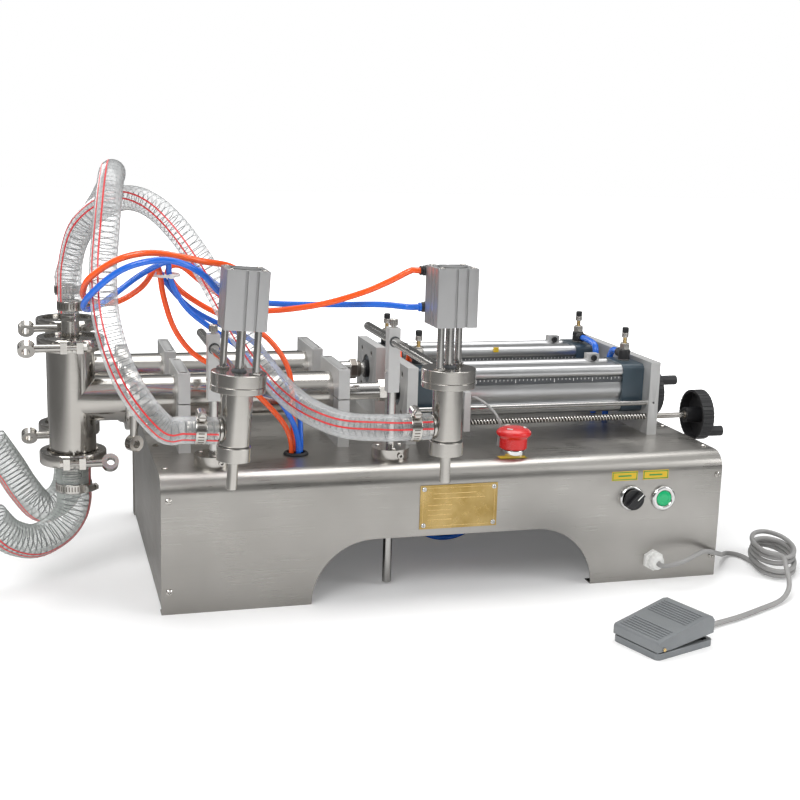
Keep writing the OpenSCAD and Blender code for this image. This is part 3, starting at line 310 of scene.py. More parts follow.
class Piece:
    """One named mesh in the row frame, built from turned, prismatic and swept shapes."""

    def __init__(self, name, *mats):
        self.name, self.mats, self.bm = name, list(mats), bmesh.new()

    def face(self, vs, m):
        u = list(dict.fromkeys(vs))
        if len(u) > 2:
            try:
                self.bm.faces.new(u).material_index = m
            except ValueError:
                pass

    def skin(self, rows, m=0):
        for a, b in zip(rows, rows[1:]):
            n = max(len(a), len(b))
            for j in range(n):
                k = (j + 1) % n
                self.face([a[j % len(a)], a[k % len(a)], b[k % len(b)], b[j % len(b)]], m)

    def lathe(self, M, prof, m=0, steps=48, soft=0.3, shape=None):
        """Turns (radius, height) points about local Z; shape scales the radius by angle and height."""
        rows = []
        for r, z in rounded(prof, soft):
            if r < 1e-6:
                rows.append([self.bm.verts.new(M @ Vector((0, 0, z)))])
                continue
            ring = []
            for j in range(steps):
                a = TAU * j / steps
                q = r * (shape(a, z) if shape else 1)
                ring.append(self.bm.verts.new(M @ Vector((q * math.cos(a), q * math.sin(a), z))))
            rows.append(ring)
        self.skin(rows, m)

    def merge(self, tmp, M, m):
        bmesh.ops.transform(tmp, matrix=M, verts=tmp.verts)
        for f in tmp.faces:
            f.material_index = m
        me = bpy.data.meshes.new("tmp")
        tmp.to_mesh(me)
        tmp.free()
        self.bm.from_mesh(me)
        bpy.data.meshes.remove(me)

    def block(self, M, lo, hi, m=0, bevel=0.4, seg=2):
        tmp = bmesh.new()
        bmesh.ops.create_cube(tmp, size=1)
        lo, hi = Vector(lo), Vector(hi)
        for v in tmp.verts:
            v.co = Vector([lo[i] + (v.co[i] + 0.5) * (hi[i] - lo[i]) for i in range(3)])
        if bevel:
            bmesh.ops.bevel(tmp, geom=tmp.edges[:], offset=bevel, segments=seg, profile=0.5, affect="EDGES")
        self.merge(tmp, M, m)

    def prism(self, M, pts, z0, z1, m=0, bevel=0.3, seg=2):
        tmp = bmesh.new()
        f = tmp.faces.new([tmp.verts.new((x, y, z0)) for x, y in pts])
        g = bmesh.ops.extrude_face_region(tmp, geom=[f])
        bmesh.ops.translate(tmp, verts=[v for v in g["geom"] if isinstance(v, bmesh.types.BMVert)],
                            vec=(0, 0, z1 - z0))
        bmesh.ops.recalc_face_normals(tmp, faces=tmp.faces[:])
        if bevel:
            es = [e for e in tmp.edges if e.calc_face_angle(0) > 0.5]
            bmesh.ops.bevel(tmp, geom=es, offset=bevel, segments=seg, profile=0.5, affect="EDGES")
        self.merge(tmp, M, m)

    def loft(self, path, s0, s1, step, ring, m=0, caps=True):
        """Sweeps ring, a list of (radius, angle) in metres and radians, along part of a path."""
        n = max(1, round((s1 - s0) / step))
        rows = []
        for i in range(n + 1):
            c, a, b, _ = path.at(s0 + (s1 - s0) * i / n)
            rows.append([self.bm.verts.new(c + r * (math.cos(w) * a + math.sin(w) * b)) for r, w in ring])
        self.skin(rows, m)
        if caps:
            self.face(rows[0][::-1], m)
            self.face(rows[-1], m)

    def coil(self, path, s0, s1, radius, pitch, wire, m=0, turn_steps=18, sides=4):
        n = max(2, round((s1 - s0) / pitch * turn_steps))
        rows = []
        for i in range(n + 1):
            s = s0 + (s1 - s0) * i / n
            c, a, b, t = path.at(s)
            w = TAU * s / pitch
            out = math.cos(w) * a + math.sin(w) * b
            rows.append([self.bm.verts.new(c + out * (radius + wire * math.cos(q)) + t * wire * math.sin(q))
                         for q in [TAU * (k + 0.5) / sides for k in range(sides)]])
        self.skin(rows, m)
        self.face(rows[0][::-1], m)
        self.face(rows[-1], m)

    def done(self, body=None, replaces=(), slot=None, soft=False):
        """Makes the mesh an object on its body; a soft piece keeps its own face directions and shading."""
        if not soft:
            bmesh.ops.recalc_face_normals(self.bm, faces=self.bm.faces[:])
        me = bpy.data.meshes.new(self.name)
        self.bm.to_mesh(me)
        self.bm.free()
        me.polygons.foreach_set("use_smooth", [True] * len(me.polygons))
        me.set_sharp_from_angle(angle=math.radians(38))
        for mat in self.mats:
            me.materials.append(mat)
        ob = bpy.data.objects.new(self.name, me)
        bpy.context.scene.collection.objects.link(ob)
        if not soft:
            ob.modifiers.new("normals", "WEIGHTED_NORMAL").keep_sharp = True
        if body:
            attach(ob, body)
        if replaces:
            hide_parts(*([replaces] if isinstance(replaces, str) else replaces))
        return ob


class Path:
    """A smooth curve through points, with a frame carried along it; lengths in metres."""

    def __init__(self, pts, sub=6):
        k = len(pts) - 1
        fine = []
        for i in range(k):
            a, b, c, d = pts[max(i - 1, 0)], pts[i], pts[i + 1], pts[min(i + 2, k)]
            for j in range(sub):
                t = j / sub
                fine.append(0.5 * (2 * b + (c - a) * t + (2 * a - 5 * b + 4 * c - d) * t * t
                                   + (3 * b - a - 3 * c + d) * t ** 3))
        self.p = fine + [pts[-1]]
        n = len(self.p)
        self.t = [(self.p[min(i + 1, n - 1)] - self.p[max(i - 1, 0)]).normalized() for i in range(n)]
        up = Vector(Y if abs(self.t[0].y) < 0.9 else Z)
        a = (up - self.t[0] * up.dot(self.t[0])).normalized()
        self.a, self.s = [a], [0.0]
        for i in range(1, n):
            a = self.a[-1] - self.t[i] * self.a[-1].dot(self.t[i])
            self.a.append(a.normalized())
            self.s.append(self.s[-1] + (self.p[i] - self.p[i - 1]).length)
        self.length = self.s[-1]

    def at(self, s):
        i = min(max(bisect.bisect_right(self.s, s) - 1, 0), len(self.s) - 2)
        f = (s - self.s[i]) / max(self.s[i + 1] - self.s[i], 1e-9)
        c = self.p[i].lerp(self.p[i + 1], f)
        t = self.t[i].lerp(self.t[i + 1], min(max(f, 0), 1)).normalized()
        a = self.a[i].lerp(self.a[i + 1], min(max(f, 0), 1))
        a = (a - t * a.dot(t)).normalized()
        return c, a, t.cross(a), t

    def near(self, p):
        return min(self.s, key=lambda s: (self.at(s)[0] - p).length)


def tubes_of(node):
    """Each tube of a CAD sweep as its list of vertex places and the edges between them."""
    me = NODES[node].data
    key, pts, of = {}, [], []
    for v in me.vertices:
        k = tuple(round(c * 1e5) for c in v.co)
        if k not in key:
            key[k] = len(pts)
            pts.append(v.co.copy())
        of.append(key[k])
    near = [set() for _ in pts]
    for e in me.edges:
        i, j = of[e.vertices[0]], of[e.vertices[1]]
        if i != j:
            near[i].add(j)
            near[j].add(i)
    left, parts = set(range(len(pts))), []
    while left:
        todo, part = [min(left)], set()
        while todo:
            i = todo.pop()
            if i not in part:
                part.add(i)
                todo += near[i] - part
        left -= part
        parts.append(part)
    return pts, near, parts


def centre_lines(node, is_end):
    """Centreline of each tube of a CAD sweep, found ring by ring from the end that is_end picks."""
    pts, near, parts = tubes_of(node)
    lines = []
    for part in parts:
        ring = {i for i in part if is_end(pts[i], [pts[j] for j in part])}
        if not ring:
            continue
        seen, line = set(), []
        while ring:
            line.append(sum((pts[i] for i in ring), Vector()) / len(ring))
            seen |= ring
            ring = {j for i in ring for j in near[i]} - seen
        lines.append(line)
    return lines


def lowest_ring(tol):
    return lambda p, tube: p.z < min(q.z for q in tube) + tol


def dress(node, mat, bevel):
    """A CAD node kept as it is: given its material, small rounded edges and smooth shading."""
    o = NODES[node]
    o.data.materials.clear()
    o.data.materials.append(mat)
    bpy.context.view_layer.objects.active = o
    if o.data.has_custom_normals:
        bpy.ops.mesh.customdata_custom_splitnormals_clear()
    o.data.polygons.foreach_set("use_smooth", [True] * len(o.data.polygons))
    w = o.modifiers.new("weld", "WELD")
    w.merge_threshold = 0.00001
    if bevel:
        b = o.modifiers.new("edges", "BEVEL")
        b.width = bevel * MM
        b.segments = 2
        b.limit_method = "ANGLE"
        b.angle_limit = math.radians(30)
        b.harden_normals = True
        b.use_clamp_overlap = True


# ---------- carried-over CAD nodes ----------
# nodes, material, width of their rounded edges
for names, mat, width in (
        ("housing_shell", SHEET, 0.35), ("side_panels", SHEET_SIDE, 0.2), ("fasteners", STEEL, 0.12),
        ("clamp_blocks_lower clamp_blocks_upper", BLAST, 0.5), ("carriage_front carriage_rear", BLAST, 0.4),
        ("drive_plates", BLAST, 0.6), ("sensor_clips", BLAST, 0.3), ("drive_end_caps", SLATE, 0.8),
        ("drive_barrels", ANOD, 0.2), ("product_tubes", TUBE, 0.25), ("tees", TUBE, 0.35),
        ("tri_clamps", STEEL, 0.5), ("hose_adapters", STEEL, 0.2), ("post_collars", TURNED, 0.5),
        ("post_left post_right", CHROME, 0.5), ("guide_rods", CHROME, 0.1),
        ("piston_front piston_rear nozzle_stem_left nozzle_stem_right", CHROME, 0.3),
        ("handwheel_front handwheel_rear", BLACK, 0.35), ("internal_controls", BOARD, 0.8),
        ("pedal_base", PEDAL, 0.5), ("pedal", PEDAL, 1.1),
        ("inlet_ball_front outlet_ball_front inlet_ball_rear outlet_ball_rear", WHITE, 0)):
    for node in names.split():
        dress(node, mat, width)


# ---------- small shared parts ----------
def worm_clamp(piece, M, r, turn, band=0, slot_shade=1):
    """Worm drive hose clamp about local Z: slotted band, screw housing and slotted hexagon screw; each slot
    is a dark bar laid on the metal, painted shade where the opening is.
    """
    R = M @ Matrix.Rotation(turn, 4, "Z")
    piece.lathe(R, [(r, 0.6), (r + 0.5, 0.0), (r + 0.75, 0.7), (r + 0.75, 9.3), (r + 0.5, 10), (r, 9.4)],
                band, 64, 0.2)
    slots = max(18, round(TAU * r / 3.1))
    for i in range(slots):
        a = TAU * i / slots
        if abs((a - 1.5 * math.pi + math.pi) % TAU - math.pi) < 7.5 / r:
            continue
        S = R @ Matrix.Rotation(a + 0.09, 4, "Z")
        piece.block(S, (r + 0.62, -0.55, 2.2), (r + 0.83, 0.55, 7.8), slot_shade, 0)
    arch = [(-4.6, 0.3), (-4.6, 4.4), (-3.2, 6.7), (0, 7.6), (3.2, 6.7), (4.6, 4.4), (4.6, 0.3)]
    piece.prism(R @ turned((-5.5, 0, 5), X, Z), [(x, r + y) for x, y in arch], 0, 11, band, 0.5)
    H = R @ turned((5.5, -r - 4, 5), X, DOWN)
    piece.lathe(H, [(0, 0), (2.2, 0), (2.2, 1.2), (0, 1.2)], band, 20)
    piece.lathe(H, [(0, 1.0), (4.4, 1.0), (4.4, 5.0), (3.6, 5.9), (0, 5.9)], band, 6, 0.3)
    piece.block(H, (-3.4, -0.5, 5.3), (3.4, 0.5, 6.0), slot_shade, 0)


def screw_head(piece, M, r, h, m, slot_shade):
    """Cross-slotted pan head on local Z = 0, its slots dark bars of painted shade."""
    piece.lathe(M, [(r, 0), (r, h * 0.5), (r * 0.72, h), (0, h)], m, 24, 0.25)
    piece.block(M, (-r * 0.7, -0.28, h - 0.25), (r * 0.7, 0.28, h + 0.04), slot_shade, 0)
    piece.block(M, (-0.28, -r * 0.7, h - 0.25), (0.28, r * 0.7, h + 0.04), slot_shade, 0)


def knurl(n, depth):
    return lambda a, z: 1 - depth * (0.5 + 0.5 * math.cos(n * a))


def push_fitting(piece, M, h, m, collar, bore=3.15):
    """Push-in fitting along local Z: body, groove and release collar."""
    r = bore + 1.45
    piece.lathe(M, [(0, 0), (r + 0.3, 0), (r + 0.3, h * 0.72), (r - 0.4, h * 0.76), (r - 0.4, h * 0.8),
                    (bore, h * 0.8)], m, 28, 0.4)
    piece.lathe(M, [(bore, h * 0.7), (r - 0.3, h * 0.84), (r - 0.1, h), (bore, h)], collar, 28, 0.25)


# ---------- housing details ----------
plate = Piece("nameplate_gold", GOLD, DARKSTEEL, BRASS, BRIGHT)
PL = on_front(PLATE_X, PLATE_Z)
plate.block(PL, (-45, -25, 0), (45, 25, 1), 0, 0.35)
for lo, hi in (((-42, -22, 0.9), (-41.3, 22, 1.15)), ((41.3, -22, 0.9), (42, 22, 1.15)),
               ((-42, -22, 0.9), (42, -21.3, 1.15)), ((-42, 21.3, 0.9), (42, 22, 1.15))):
    plate.block(PL, lo, hi, 2, 0.1, 1)
# blank bars where the plate is printed: width, and height from the middle
for i, (w, v) in enumerate(((50, 15), (60, 9.5), (28, 2), (28, -3.5), (28, -9), (28, -14.5))):
    x0 = -30 if i < 2 else -36
    plate.block(PL, (x0, v - 0.5, 0.9), (x0 + w, v + 0.5, 1.1), 2, 0.1, 1)
for x in (-40.5, 40.5):
    for z in (-20.5, 20.5):
        screw_head(plate, at(PLATE_X + x, -1, PLATE_Z + z, FRONT), 2.8, 1.5, 3, 1)
plate.done("machine", "nameplate_and_labels", "gold_plate")
labels = Piece("panel_labels", YELLOW, GREENINK)  # two by the switches, then the one by the stop button
for x in (509, 548):
    L = on_front(x, 122)
    labels.block(L, (0, 0, 0.02), (32.5, 11, 0.4), 0, 0.12, 1)
    for lo, hi in (((0.8, 0.8), (31.7, 1.8)), ((0.8, 9.2), (31.7, 10.2)), ((0.8, 0.8), (1.8, 10.2)),
                   ((30.7, 0.8), (31.7, 10.2)), ((8, 4.6), (24.5, 6.4))):
        labels.block(L, (lo[0], lo[1], 0.3), (hi[0], hi[1], 0.48), 1, 0)
L = at(378.5, 16, TOP)
labels.block(L, (0, 0, 0.02), (32, 11, 0.5), 0, 0.2, 2)
labels.block(L, (0.3, 0.3, 0.3), (31.7, 0.9, 0.54), 1, 0)
labels.block(L, (30.9, 0.3, 0.3), (31.7, 5, 0.54), 1, 0)
labels.done("machine", slot="gold_plate")

bezels = Piece("button_bezels", BRIGHT, BLACK)
for spot in (SELECTOR, START):
    B = on_front(*spot)
    bezels.lathe(B, [(9.05, -6), (9.05, 2.6), (10.2, 4), (13.2, 4), (14.8, 2.6), (14.8, 0.05),
                     (11, 0.05), (11, -38), (9.3, -38)], 0, 64, 0.5)
    bezels.lathe(B, [(14, -1.6), (14, -6.5), (11.05, -6.5)], 1, 32)
bezels.done("machine", "panel_fittings", "bright_fitting")
gland = Piece("pedal_cable_gland", WHITE)
G = at(GLAND[0], 0, GLAND[1], FRONT, Z)
gland.lathe(G, [(3.1, -10), (8, -10), (8, 0)], 0, 24)
gland.lathe(G, [(8, 0.05), (12.6, 0.05), (12.6, 6), (9, 6)], 0, 6, 0.6)
gland.lathe(G, [(9.6, 6), (9.6, 12.5), (7.2, 17), (4, 18), (3.1, 18), (3.1, 8)], 0, 72, 0.6,
            shape=knurl(12, 0.05))
gland.done("machine", slot="bright_fitting")
rear = Piece("rear_inlets", BRASS, BLACK)
R1 = at(CABLE_INLET[0], BACK, CABLE_INLET[1], Y, Z)
rear.lathe(R1, [(4.05, -14), (6.5, -14), (6.5, 0.05)], 0, 32)
rear.lathe(R1, [(6.5, 0.05), (9, 0.05), (9, 8.05), (7.2, 8.05)], 0, 6, 0.5)
rear.lathe(R1, [(7.2, 8.0), (7.2, 14), (6.6, 16), (4.05, 16), (4.05, -14)], 1, 36, 0.5)
R2 = at(AIR_INLET[0], BACK, AIR_INLET[1], Y, Z)
rear.lathe(R2, [(3.5, -10), (5, -10), (5, 0.05)], 1, 32)
rear.lathe(R2, [(5, 0.05), (8, 0.05), (8, 8.05), (6, 8.05)], 1, 6, 0.5)
rear.lathe(R2, [(6, 8), (6, 12), (4.6, 14), (3.5, 14), (3.5, -10)], 1, 36, 0.5)
rear.done("machine", slot="bright_fitting")

stop_base = Piece("estop_base", BRIGHT, BLACK)
E0 = at(*ESTOP, TOP)
stop_base.lathe(E0, [(8.05, 7.4), (13.2, 7.4), (14.2, 6.4), (14.2, 0.05), (11, 0.05), (11, -40),
                     (8.05, -40), (8.05, 7)], 0, 56, 0.5)
stop_base.lathe(E0, [(13.5, -2), (13.5, -7), (11.1, -7)], 1, 32)
stop_base.done("machine", slot="black_plastic")
stop = Piece("estop_head", RED, WHITE)
stop.lathe(E0, [(0, -6), (8, -6), (8, 16), (14.5, 16), (14.5, 7.8), (15.2, 7.6), (15.8, 8.4), (15.8, 19.4),
                (16.6, 20.6), (19.4, 23.2), (20, 24.2), (20, 26.2), (19.2, 27.6), (17, 29.4), (13, 31.2),
                (9, 32), (0, 32)], 0, 96, 0.7,
           shape=lambda a, z: knurl(30, 0.012)(a, z) if 22 < z < 28 else 1)
arrow = [(-3.4, -0.9), (1.2, -0.9), (1.2, -2.0), (3.8, 0), (1.2, 2.0), (1.2, 0.9), (-3.4, 0.9)]
for k in range(3):
    stop.prism(E0 @ Matrix.Rotation(TAU * k / 3 + 0.3, 4, "Z") @ Matrix.Translation((0, 12.2, 31.15)),
               arrow, 0, 0.75, 1, 0)
stop.done("estop_button", "estop_button", "red_plastic")

S0 = on_front(*SELECTOR)
handle = Piece("selector_head", BLACK, WHITE)
handle.lathe(S0, [(0, -14), (9, -14), (9, 5.6), (11.6, 6.2), (12.2, 7.2), (12.2, 9.2), (11.4, 10),
                  (0, 10.2)], 0, 64, 0.4)
H0 = S0 @ Matrix.Rotation(math.radians(-45), 4, "Z")
handle.prism(H0, [(-3.6, -11.5), (3.6, -11.5), (4.1, 0), (3.6, 11.5), (-3.6, 11.5), (-4.1, 0)],
             9.5, 15.8, 0, 0.9, 3)
handle.block(H0, (-0.6, 1.5, 15.4), (0.6, 11, 16), 1, 0.1, 1)
handle.done("selector_knob", "selector_knob", "black_plastic")
lens = Piece("start_lens", GREEN)
lens.lathe(on_front(*START), [(0, -10), (9, -10), (9, 2.4), (8.5, 3.5), (6, 4.0), (5.4, 3.5), (4.9, 3.4),
                              (0, 3.7)], 0, 64, 0.3)
lens.done("start_button", "start_button", "green_plastic")

grommet = Piece("tube_grommets", RUBBER, WHITE)
grommet.lathe(at(*GROMMET, TOP), [(9.9, -3), (9.9, 2.4), (11.2, 3.4), (13.2, 2.4), (14, 1.0), (14, 0.05),
                                  (10.9, 0.05), (10.9, -3), (9.9, -3)], 0, 48, 0.5)
T0 = at(*TIE_RING)
grommet.lathe(T0, [(15.0, 0), (16.0, 0), (16.2, 1.5), (16.0, 3), (15.0, 3), (15.0, 0)], 1, 48, 0.2)
grommet.block(T0 @ Matrix.Rotation(math.radians(-70), 4, "Z"), (15.2, -2.4, -0.8), (19.2, 2.4, 3.8), 1, 0.4)
grommet.done("machine", "tube_grommet", "black_plastic")

# ---------- product side ----------
clamps = Piece("hose_clamp_bands", STEEL, DARKSTEEL)
for y in ROWS.values():
    worm_clamp(clamps, at(TEE_X, y, TEE_TOP, Z, X), 13.0, math.radians(60))
    worm_clamp(clamps, at(TEE_X, y, TEE_FOOT, Z, X), 19.2, math.radians(45))
clamps.done("machine", "hose_clamps", "stainless")
for s, y in ROWS.items():
    # The rear nut takes the dark steel as painted shade for the rear row; the front nut is plain steel.
    nut = Piece("rod_nut_" + s, STEEL if s == "front" else DARKSTEEL)
    N = at(269, y, AXIS_Z, X)
    nut.lathe(N, [(8, -0.1), (13.1, -0.1), (13.1, 9.1), (8, 9.1)], 0, 6, 0.9)
    nut.lathe(N, [(8, 9), (10.4, 9), (10.4, 13.5), (8.3, 14.5)], 0, 32, 0.4)
    nut.done("piston_" + s, slot="stainless")
glands = Piece("rod_glands_turned", BLACK, SLATE, SEAL_GREY_AND_GAP_SHADE)
for y in ROWS.values():
    A = at(288, y, AXIS_Z, X)
    glands.lathe(A, [(8.05, 16), (8.05, 0.5), (9, 0), (11.2, 0), (11.5, 0.5), (11.5, 5.6)], 0, 72, 0.3,
                 shape=knurl(24, 0.03))
    glands.lathe(A, [(11.5, 5.5), (16.6, 5.5), (17.6, 6.6), (17.6, 16), (8.05, 16)], 1, 64, 0.5)
    glands.lathe(A, [(8.1, -0.2), (9.4, -0.2), (9.4, 0.6)], 2, 40, 0.1)
glands.done("machine", "rod_glands", "black_plastic")

# ---------- air cylinders ----------
rule = Piece("barrel_rules", WHITE, SEAL_GREY_AND_GAP_SHADE, YELLOW)
for y in ROWS.values():
    Q = at(332.4, y - 27.6, AXIS_Z + 15.2, X, Z)
    rule.block(Q, (-6.6, -0.2, 0.2), (0, 0.35, 239), 1, 0.08, 1)
    for i in range(1, 48):
        deep = 4.6 if i % 10 == 0 else 3.4 if i % 5 == 0 else 2.1
        rule.block(Q, (-0.4 - deep, 0.3, i * 5 - 0.35), (-0.4, 0.44, i * 5 + 0.35), 0, 0)
rule.block(at(455, ROWS["rear"] - 29, AXIS_Z + 26, X, Z), (-3, -1.6, 0), (3.4, 1.4, 7), 2, 0.4)
rule.done("machine", slot="anodised_aluminium")
studs = Piece("end_cap_screws", DARKSTEEL, BLACK)
for y in ROWS.values():
    for dy in (-23.2, 23.2):
        for dz in (-23.2, 23.2):
            for x, d in ((332.2, 1), (572, -1)):
                studs.lathe(at(x - d * 0.4, y + dy, AXIS_Z + dz, (d, 0, 0)),
                            [(0, 0), (2.9, 0), (2.9, 0.9), (0, 0.9)], 0, 6, 0.15)
for x, y in zip((552.5, 558.5), ROWS.values()):
    studs.lathe(at(x, y + 15, AXIS_Z + 30.9, FRONT, Z),
                [(2.2, -1), (3.9, 0), (3.9, 1.6), (3.2, 2.2), (1.8, 2.2), (1.6, 1.0), (0, 1.0)], 1, 28, 0.3)
studs.done("machine", slot="stainless")

VALVES = [(x, ROWS[s], side) for s, side in (("front", -1), ("rear", 1)) for x in (318, 586.2)]
VALVE_Z = 235
valves = Piece("flow_valve_bodies", BLACK, STEEL, BRASS)
for x, y, side in VALVES:
    V = at(x, y, VALVE_Z)
    valves.lathe(V, [(2.1, -7.8), (4.5, -7.8), (4.5, 0)], 2, 32)
    valves.lathe(V, [(4.5, 0.02), (7.8, 0.02), (7.8, 1.8), (7, 1.8)], 1, 6, 0.3)
    valves.lathe(V, [(7.4, 1.8), (7.4, 12.6), (6.6, 14), (5.2, 14)], 0, 40, 0.5)
    valves.lathe(V, [(5.2, 14), (6.6, 14), (6.6, 20.5), (5.6, 22), (2.55, 22), (2.55, 15)], 1, 6, 0.35)
    push_fitting(valves, at(x, y - side, VALVE_Z + 8, (0, -side, 0), Z), 15.4, 0, 0, 4.15)
valves.done("machine", "flow_valves", "black_plastic")
for i, (x, y, _) in enumerate(VALVES, 1):
    knob = Piece("needle_knob_%d_turned" % i, BLACK, STEEL, BRASS)
    V = at(x, y, VALVE_Z)
    knob.lathe(V, [(0, 16), (2.5, 16), (2.5, 30)], 2, 28)
    knob.lathe(V, [(2.5, 28.8), (4.2, 29), (4.2, 34.6), (3.4, 35)], 1, 90, 0.3, shape=knurl(30, 0.05))
    knob.lathe(V, [(3.4, 34.8), (4.1, 35.2), (4.1, 40.6), (3.4, 41.5), (0, 41.5)], 0, 90, 0.4,
               shape=knurl(18, 0.07))
    knob.done("needle_%d" % i, "needle_knob_%d" % i, "brass")


# ---------- volume adjustment ----------
def thread_rows(x0, x1, y, z, r, depth, lead, starts, steps=20, per=8):
    """Rings of points along a screw whose surface follows a flat-topped thread with sloping sides."""
    n = round((x1 - x0) / lead * per * starts)
    rows = []
    for i in range(n + 1):
        s = i / n * (x1 - x0)
        row = []
        for j in range(steps):
            a = TAU * j / steps
            u = (s * starts / lead - a * starts / TAU) % 1
            h = min(max((abs(u - 0.5) - 0.12) / 0.26, 0), 1)
            q = r - depth * h
            row.append((x0 + s, y + q * math.cos(a), z + q * math.sin(a)))
        rows.append(row)
    return rows


THREAD = dict(r=4.0, depth=1.0, lead=8, starts=2)
# row, x of the handwheel's middle, and the angle of its grip
for s, wheel_x, grip in (("front", 663, -20), ("rear", 669, 215)):
    y = ROWS[s] + SCREW_DY
    screw = Piece("lead_screw_thread_" + s, SCREW_STEEL_AND_HIGHLIGHT, STEEL, THREAD_ROOT_SHADE)
    rows = thread_rows(304.4, 599.9, y, SCREW_Z, **THREAD)
    screw.skin([[screw.bm.verts.new(P(*q)) for q in row] for row in rows])
    for f in screw.bm.faces:  # the root of the thread is painted dark as shade
        c = local(f.calc_center_median())
        f.material_index = 2 if math.hypot(c.y - y, c.z - SCREW_Z) < 3.6 else 0
    screw.lathe(at(297, y, SCREW_Z, X), [(0, 0.2), (3, 0.2), (3, 7.3)], 1, 28)
    end = wheel_x - 600.5
    screw.lathe(at(599.6, y, SCREW_Z, X), [(4, 0), (3.35, 0.2), (3.35, end), (0, end)], 1, 28)
    screw.done("screw_" + s, "lead_screw_" + s, "stainless")
    hub = Piece("handwheel_hub_" + s, DARKSTEEL, STEEL)
    W = at(wheel_x, y, SCREW_Z, X, DOWN)
    hub.lathe(W, [(3.45, -10.3), (5.2, -10.3), (5.2, -9.9)], 0, 40, 0.1)
    hub.lathe(W @ Matrix.Rotation(math.radians(grip), 4, "Z") @ Matrix.Translation((21.5, 0, 0)),
              [(3, 38.6), (4.4, 39.1), (3.2, 40.2), (0, 40.4)], 1, 32, 0.2)
    hub.done("screw_" + s, slot="stainless")
    caps = Piece("carriage_screws_" + s, DARKSTEEL)
    for dy, z in ((5.5, 193), (-3, 205)):
        caps.lathe(at(369, y + dy, z, X), [(0, 0), (2.4, 0), (2.4, 1.8), (1.2, 1.8), (0, 1.0)], 0, 24, 0.2)
    caps.done("carriage_" + s, slot="stainless")

# ---------- filling heads ----------
BLOCKS = {"left": (61, 277), "right": (258, 281)}  # x of each post, and height of the rod through its block
REACH = {"left": 255, "right": 287}
INLET_Z = 56.5  # hose inlet, flange and cylinder along the head's own axis, up from the spout's end
FLANGE_Z = 113.3
CYL_LO, CYL_HI = 154.1, 209.4
PORTS = ((168, 3), (203, 2))  # height of each air fitting, and which material its collar has
SPOUT_DEPTH = 14  # the spout mount is this far up from the spout's end
HEADS = {}  # each head's own axis, from its spout's end
for s in ("left", "right"):
    m = MOUNTS["spout_" + s]
    up = -Vector(m["axis"])
    HEADS[s] = place(Vector(m["pos_m"]) - up * SPOUT_DEPTH * MM, up, X)


def slot_outline(a=20.0, r=1.0, w=1.25, d=2.0, slots=(-1.5, 8.5)):
    """Square section with two narrow grooves along each side."""
    pts = []
    for k in range(4):
        cos, sin = round(math.cos(k * math.pi / 2)), round(math.sin(k * math.pi / 2))
        side = [(a, -a + r)]
        for y in slots:
            side += [(a, y - w), (a - d, y - w), (a - d, y + w), (a, y + w)]
        side += [(a, a - r), (a - r * 0.3, a - r * 0.3)]
        pts += [(cos * x - sin * y, sin * x + cos * y) for x, y in side]
    return pts


def filling_valve(s, columns):
    """Turned valve body on its spout, with the hose inlet, two columns, hose clamp and reach rod."""
    H = HEADS[s]
    v = Piece("filling_valve_" + s, TURNED, STEEL, DARKSTEEL, SEAL_GREY_AND_GAP_SHADE, CHROME)
    v.lathe(H, [(4.35, 90), (4.35, FLANGE_Z), (25.3, FLANGE_Z), (26, 112.7), (26, 101.8), (25.6, 101.35),
                (25.0, 101.25), (25.6, 101.15), (26, 100.7), (26, 95.5), (25.5, 95), (14.6, 95)], 0, 96, 0.15)
    v.lathe(H, [(25.0, 101.05), (25.35, 101.05), (25.35, 101.45), (25.0, 101.45)], 3, 64, 0)
    v.lathe(H, [(14.6, 95.5), (14.6, 44.2), (14.2, 43), (12, 43), (12, 95)], 0, 96, 0.5)
    v.lathe(H, [(12, 44), (12, 43), (13.9, 43), (13.9, 42.4), (12, 42.4)], 3, 64, 0)
    v.lathe(H, [(12, 43.5), (12, 36), (4, 34), (4, 0), (4.5, 0), (5.3, 0.6), (5.2, 10), (5.0, 20),
                (5.3, 27.5), (6.2, 28.5), (16, 28.5), (16.5, 29), (16.5, 42), (16, 42.5), (12, 42.5)],
            0, 96, 0.2)
    inlet = H @ turned((0, 0, INLET_Z), LEFT, Z)
    v.lathe(inlet, [(9.6, 12.5), (11.4, 13.0), (11.0, 14.9), (9.7, 15.6)], 1, 48, 0.3)
    v.lathe(inlet, [(7.6, 12), (7.6, 46), (9.0, 46), (9.6, 45), (9.6, 12)], 1, 48, 0.4)
    for x, y in columns:
        C = H @ Matrix.Translation((x, y, 0))
        v.lathe(C, [(3.4, 112.8), (3.4, CYL_LO)], 4, 36, 0)
        v.lathe(C, [(3.4, 113.2), (6.1, FLANGE_Z), (6.1, 115.6), (3.4, 115.7)], 1, 6, 0.4)
    worm_clamp(v, H @ turned((-38, 0, INLET_Z), X, DOWN), 13.0, math.radians(-80), 1, 2)
    r = REACH[s]
    v.lathe(place(H @ Vector((0, 20, 107)), Y, Z), [(0, -1), (5, -1), (5, r - 1), (4, r), (0, r)], 4, 48, 0.3)
    v.done("head_" + s, "nozzle_" + s, "stainless")
    seal = Piece("stem_seal_" + s, SEAL_GREY_AND_GAP_SHADE)
    seal.lathe(H, [(4.35, FLANGE_Z), (7.4, FLANGE_Z), (7.4, 114.6), (4.35, 116.4)], 0, 64, 0.2,
               shape=knurl(8, 0.12))
    seal.done("head_" + s, slot="black_plastic")


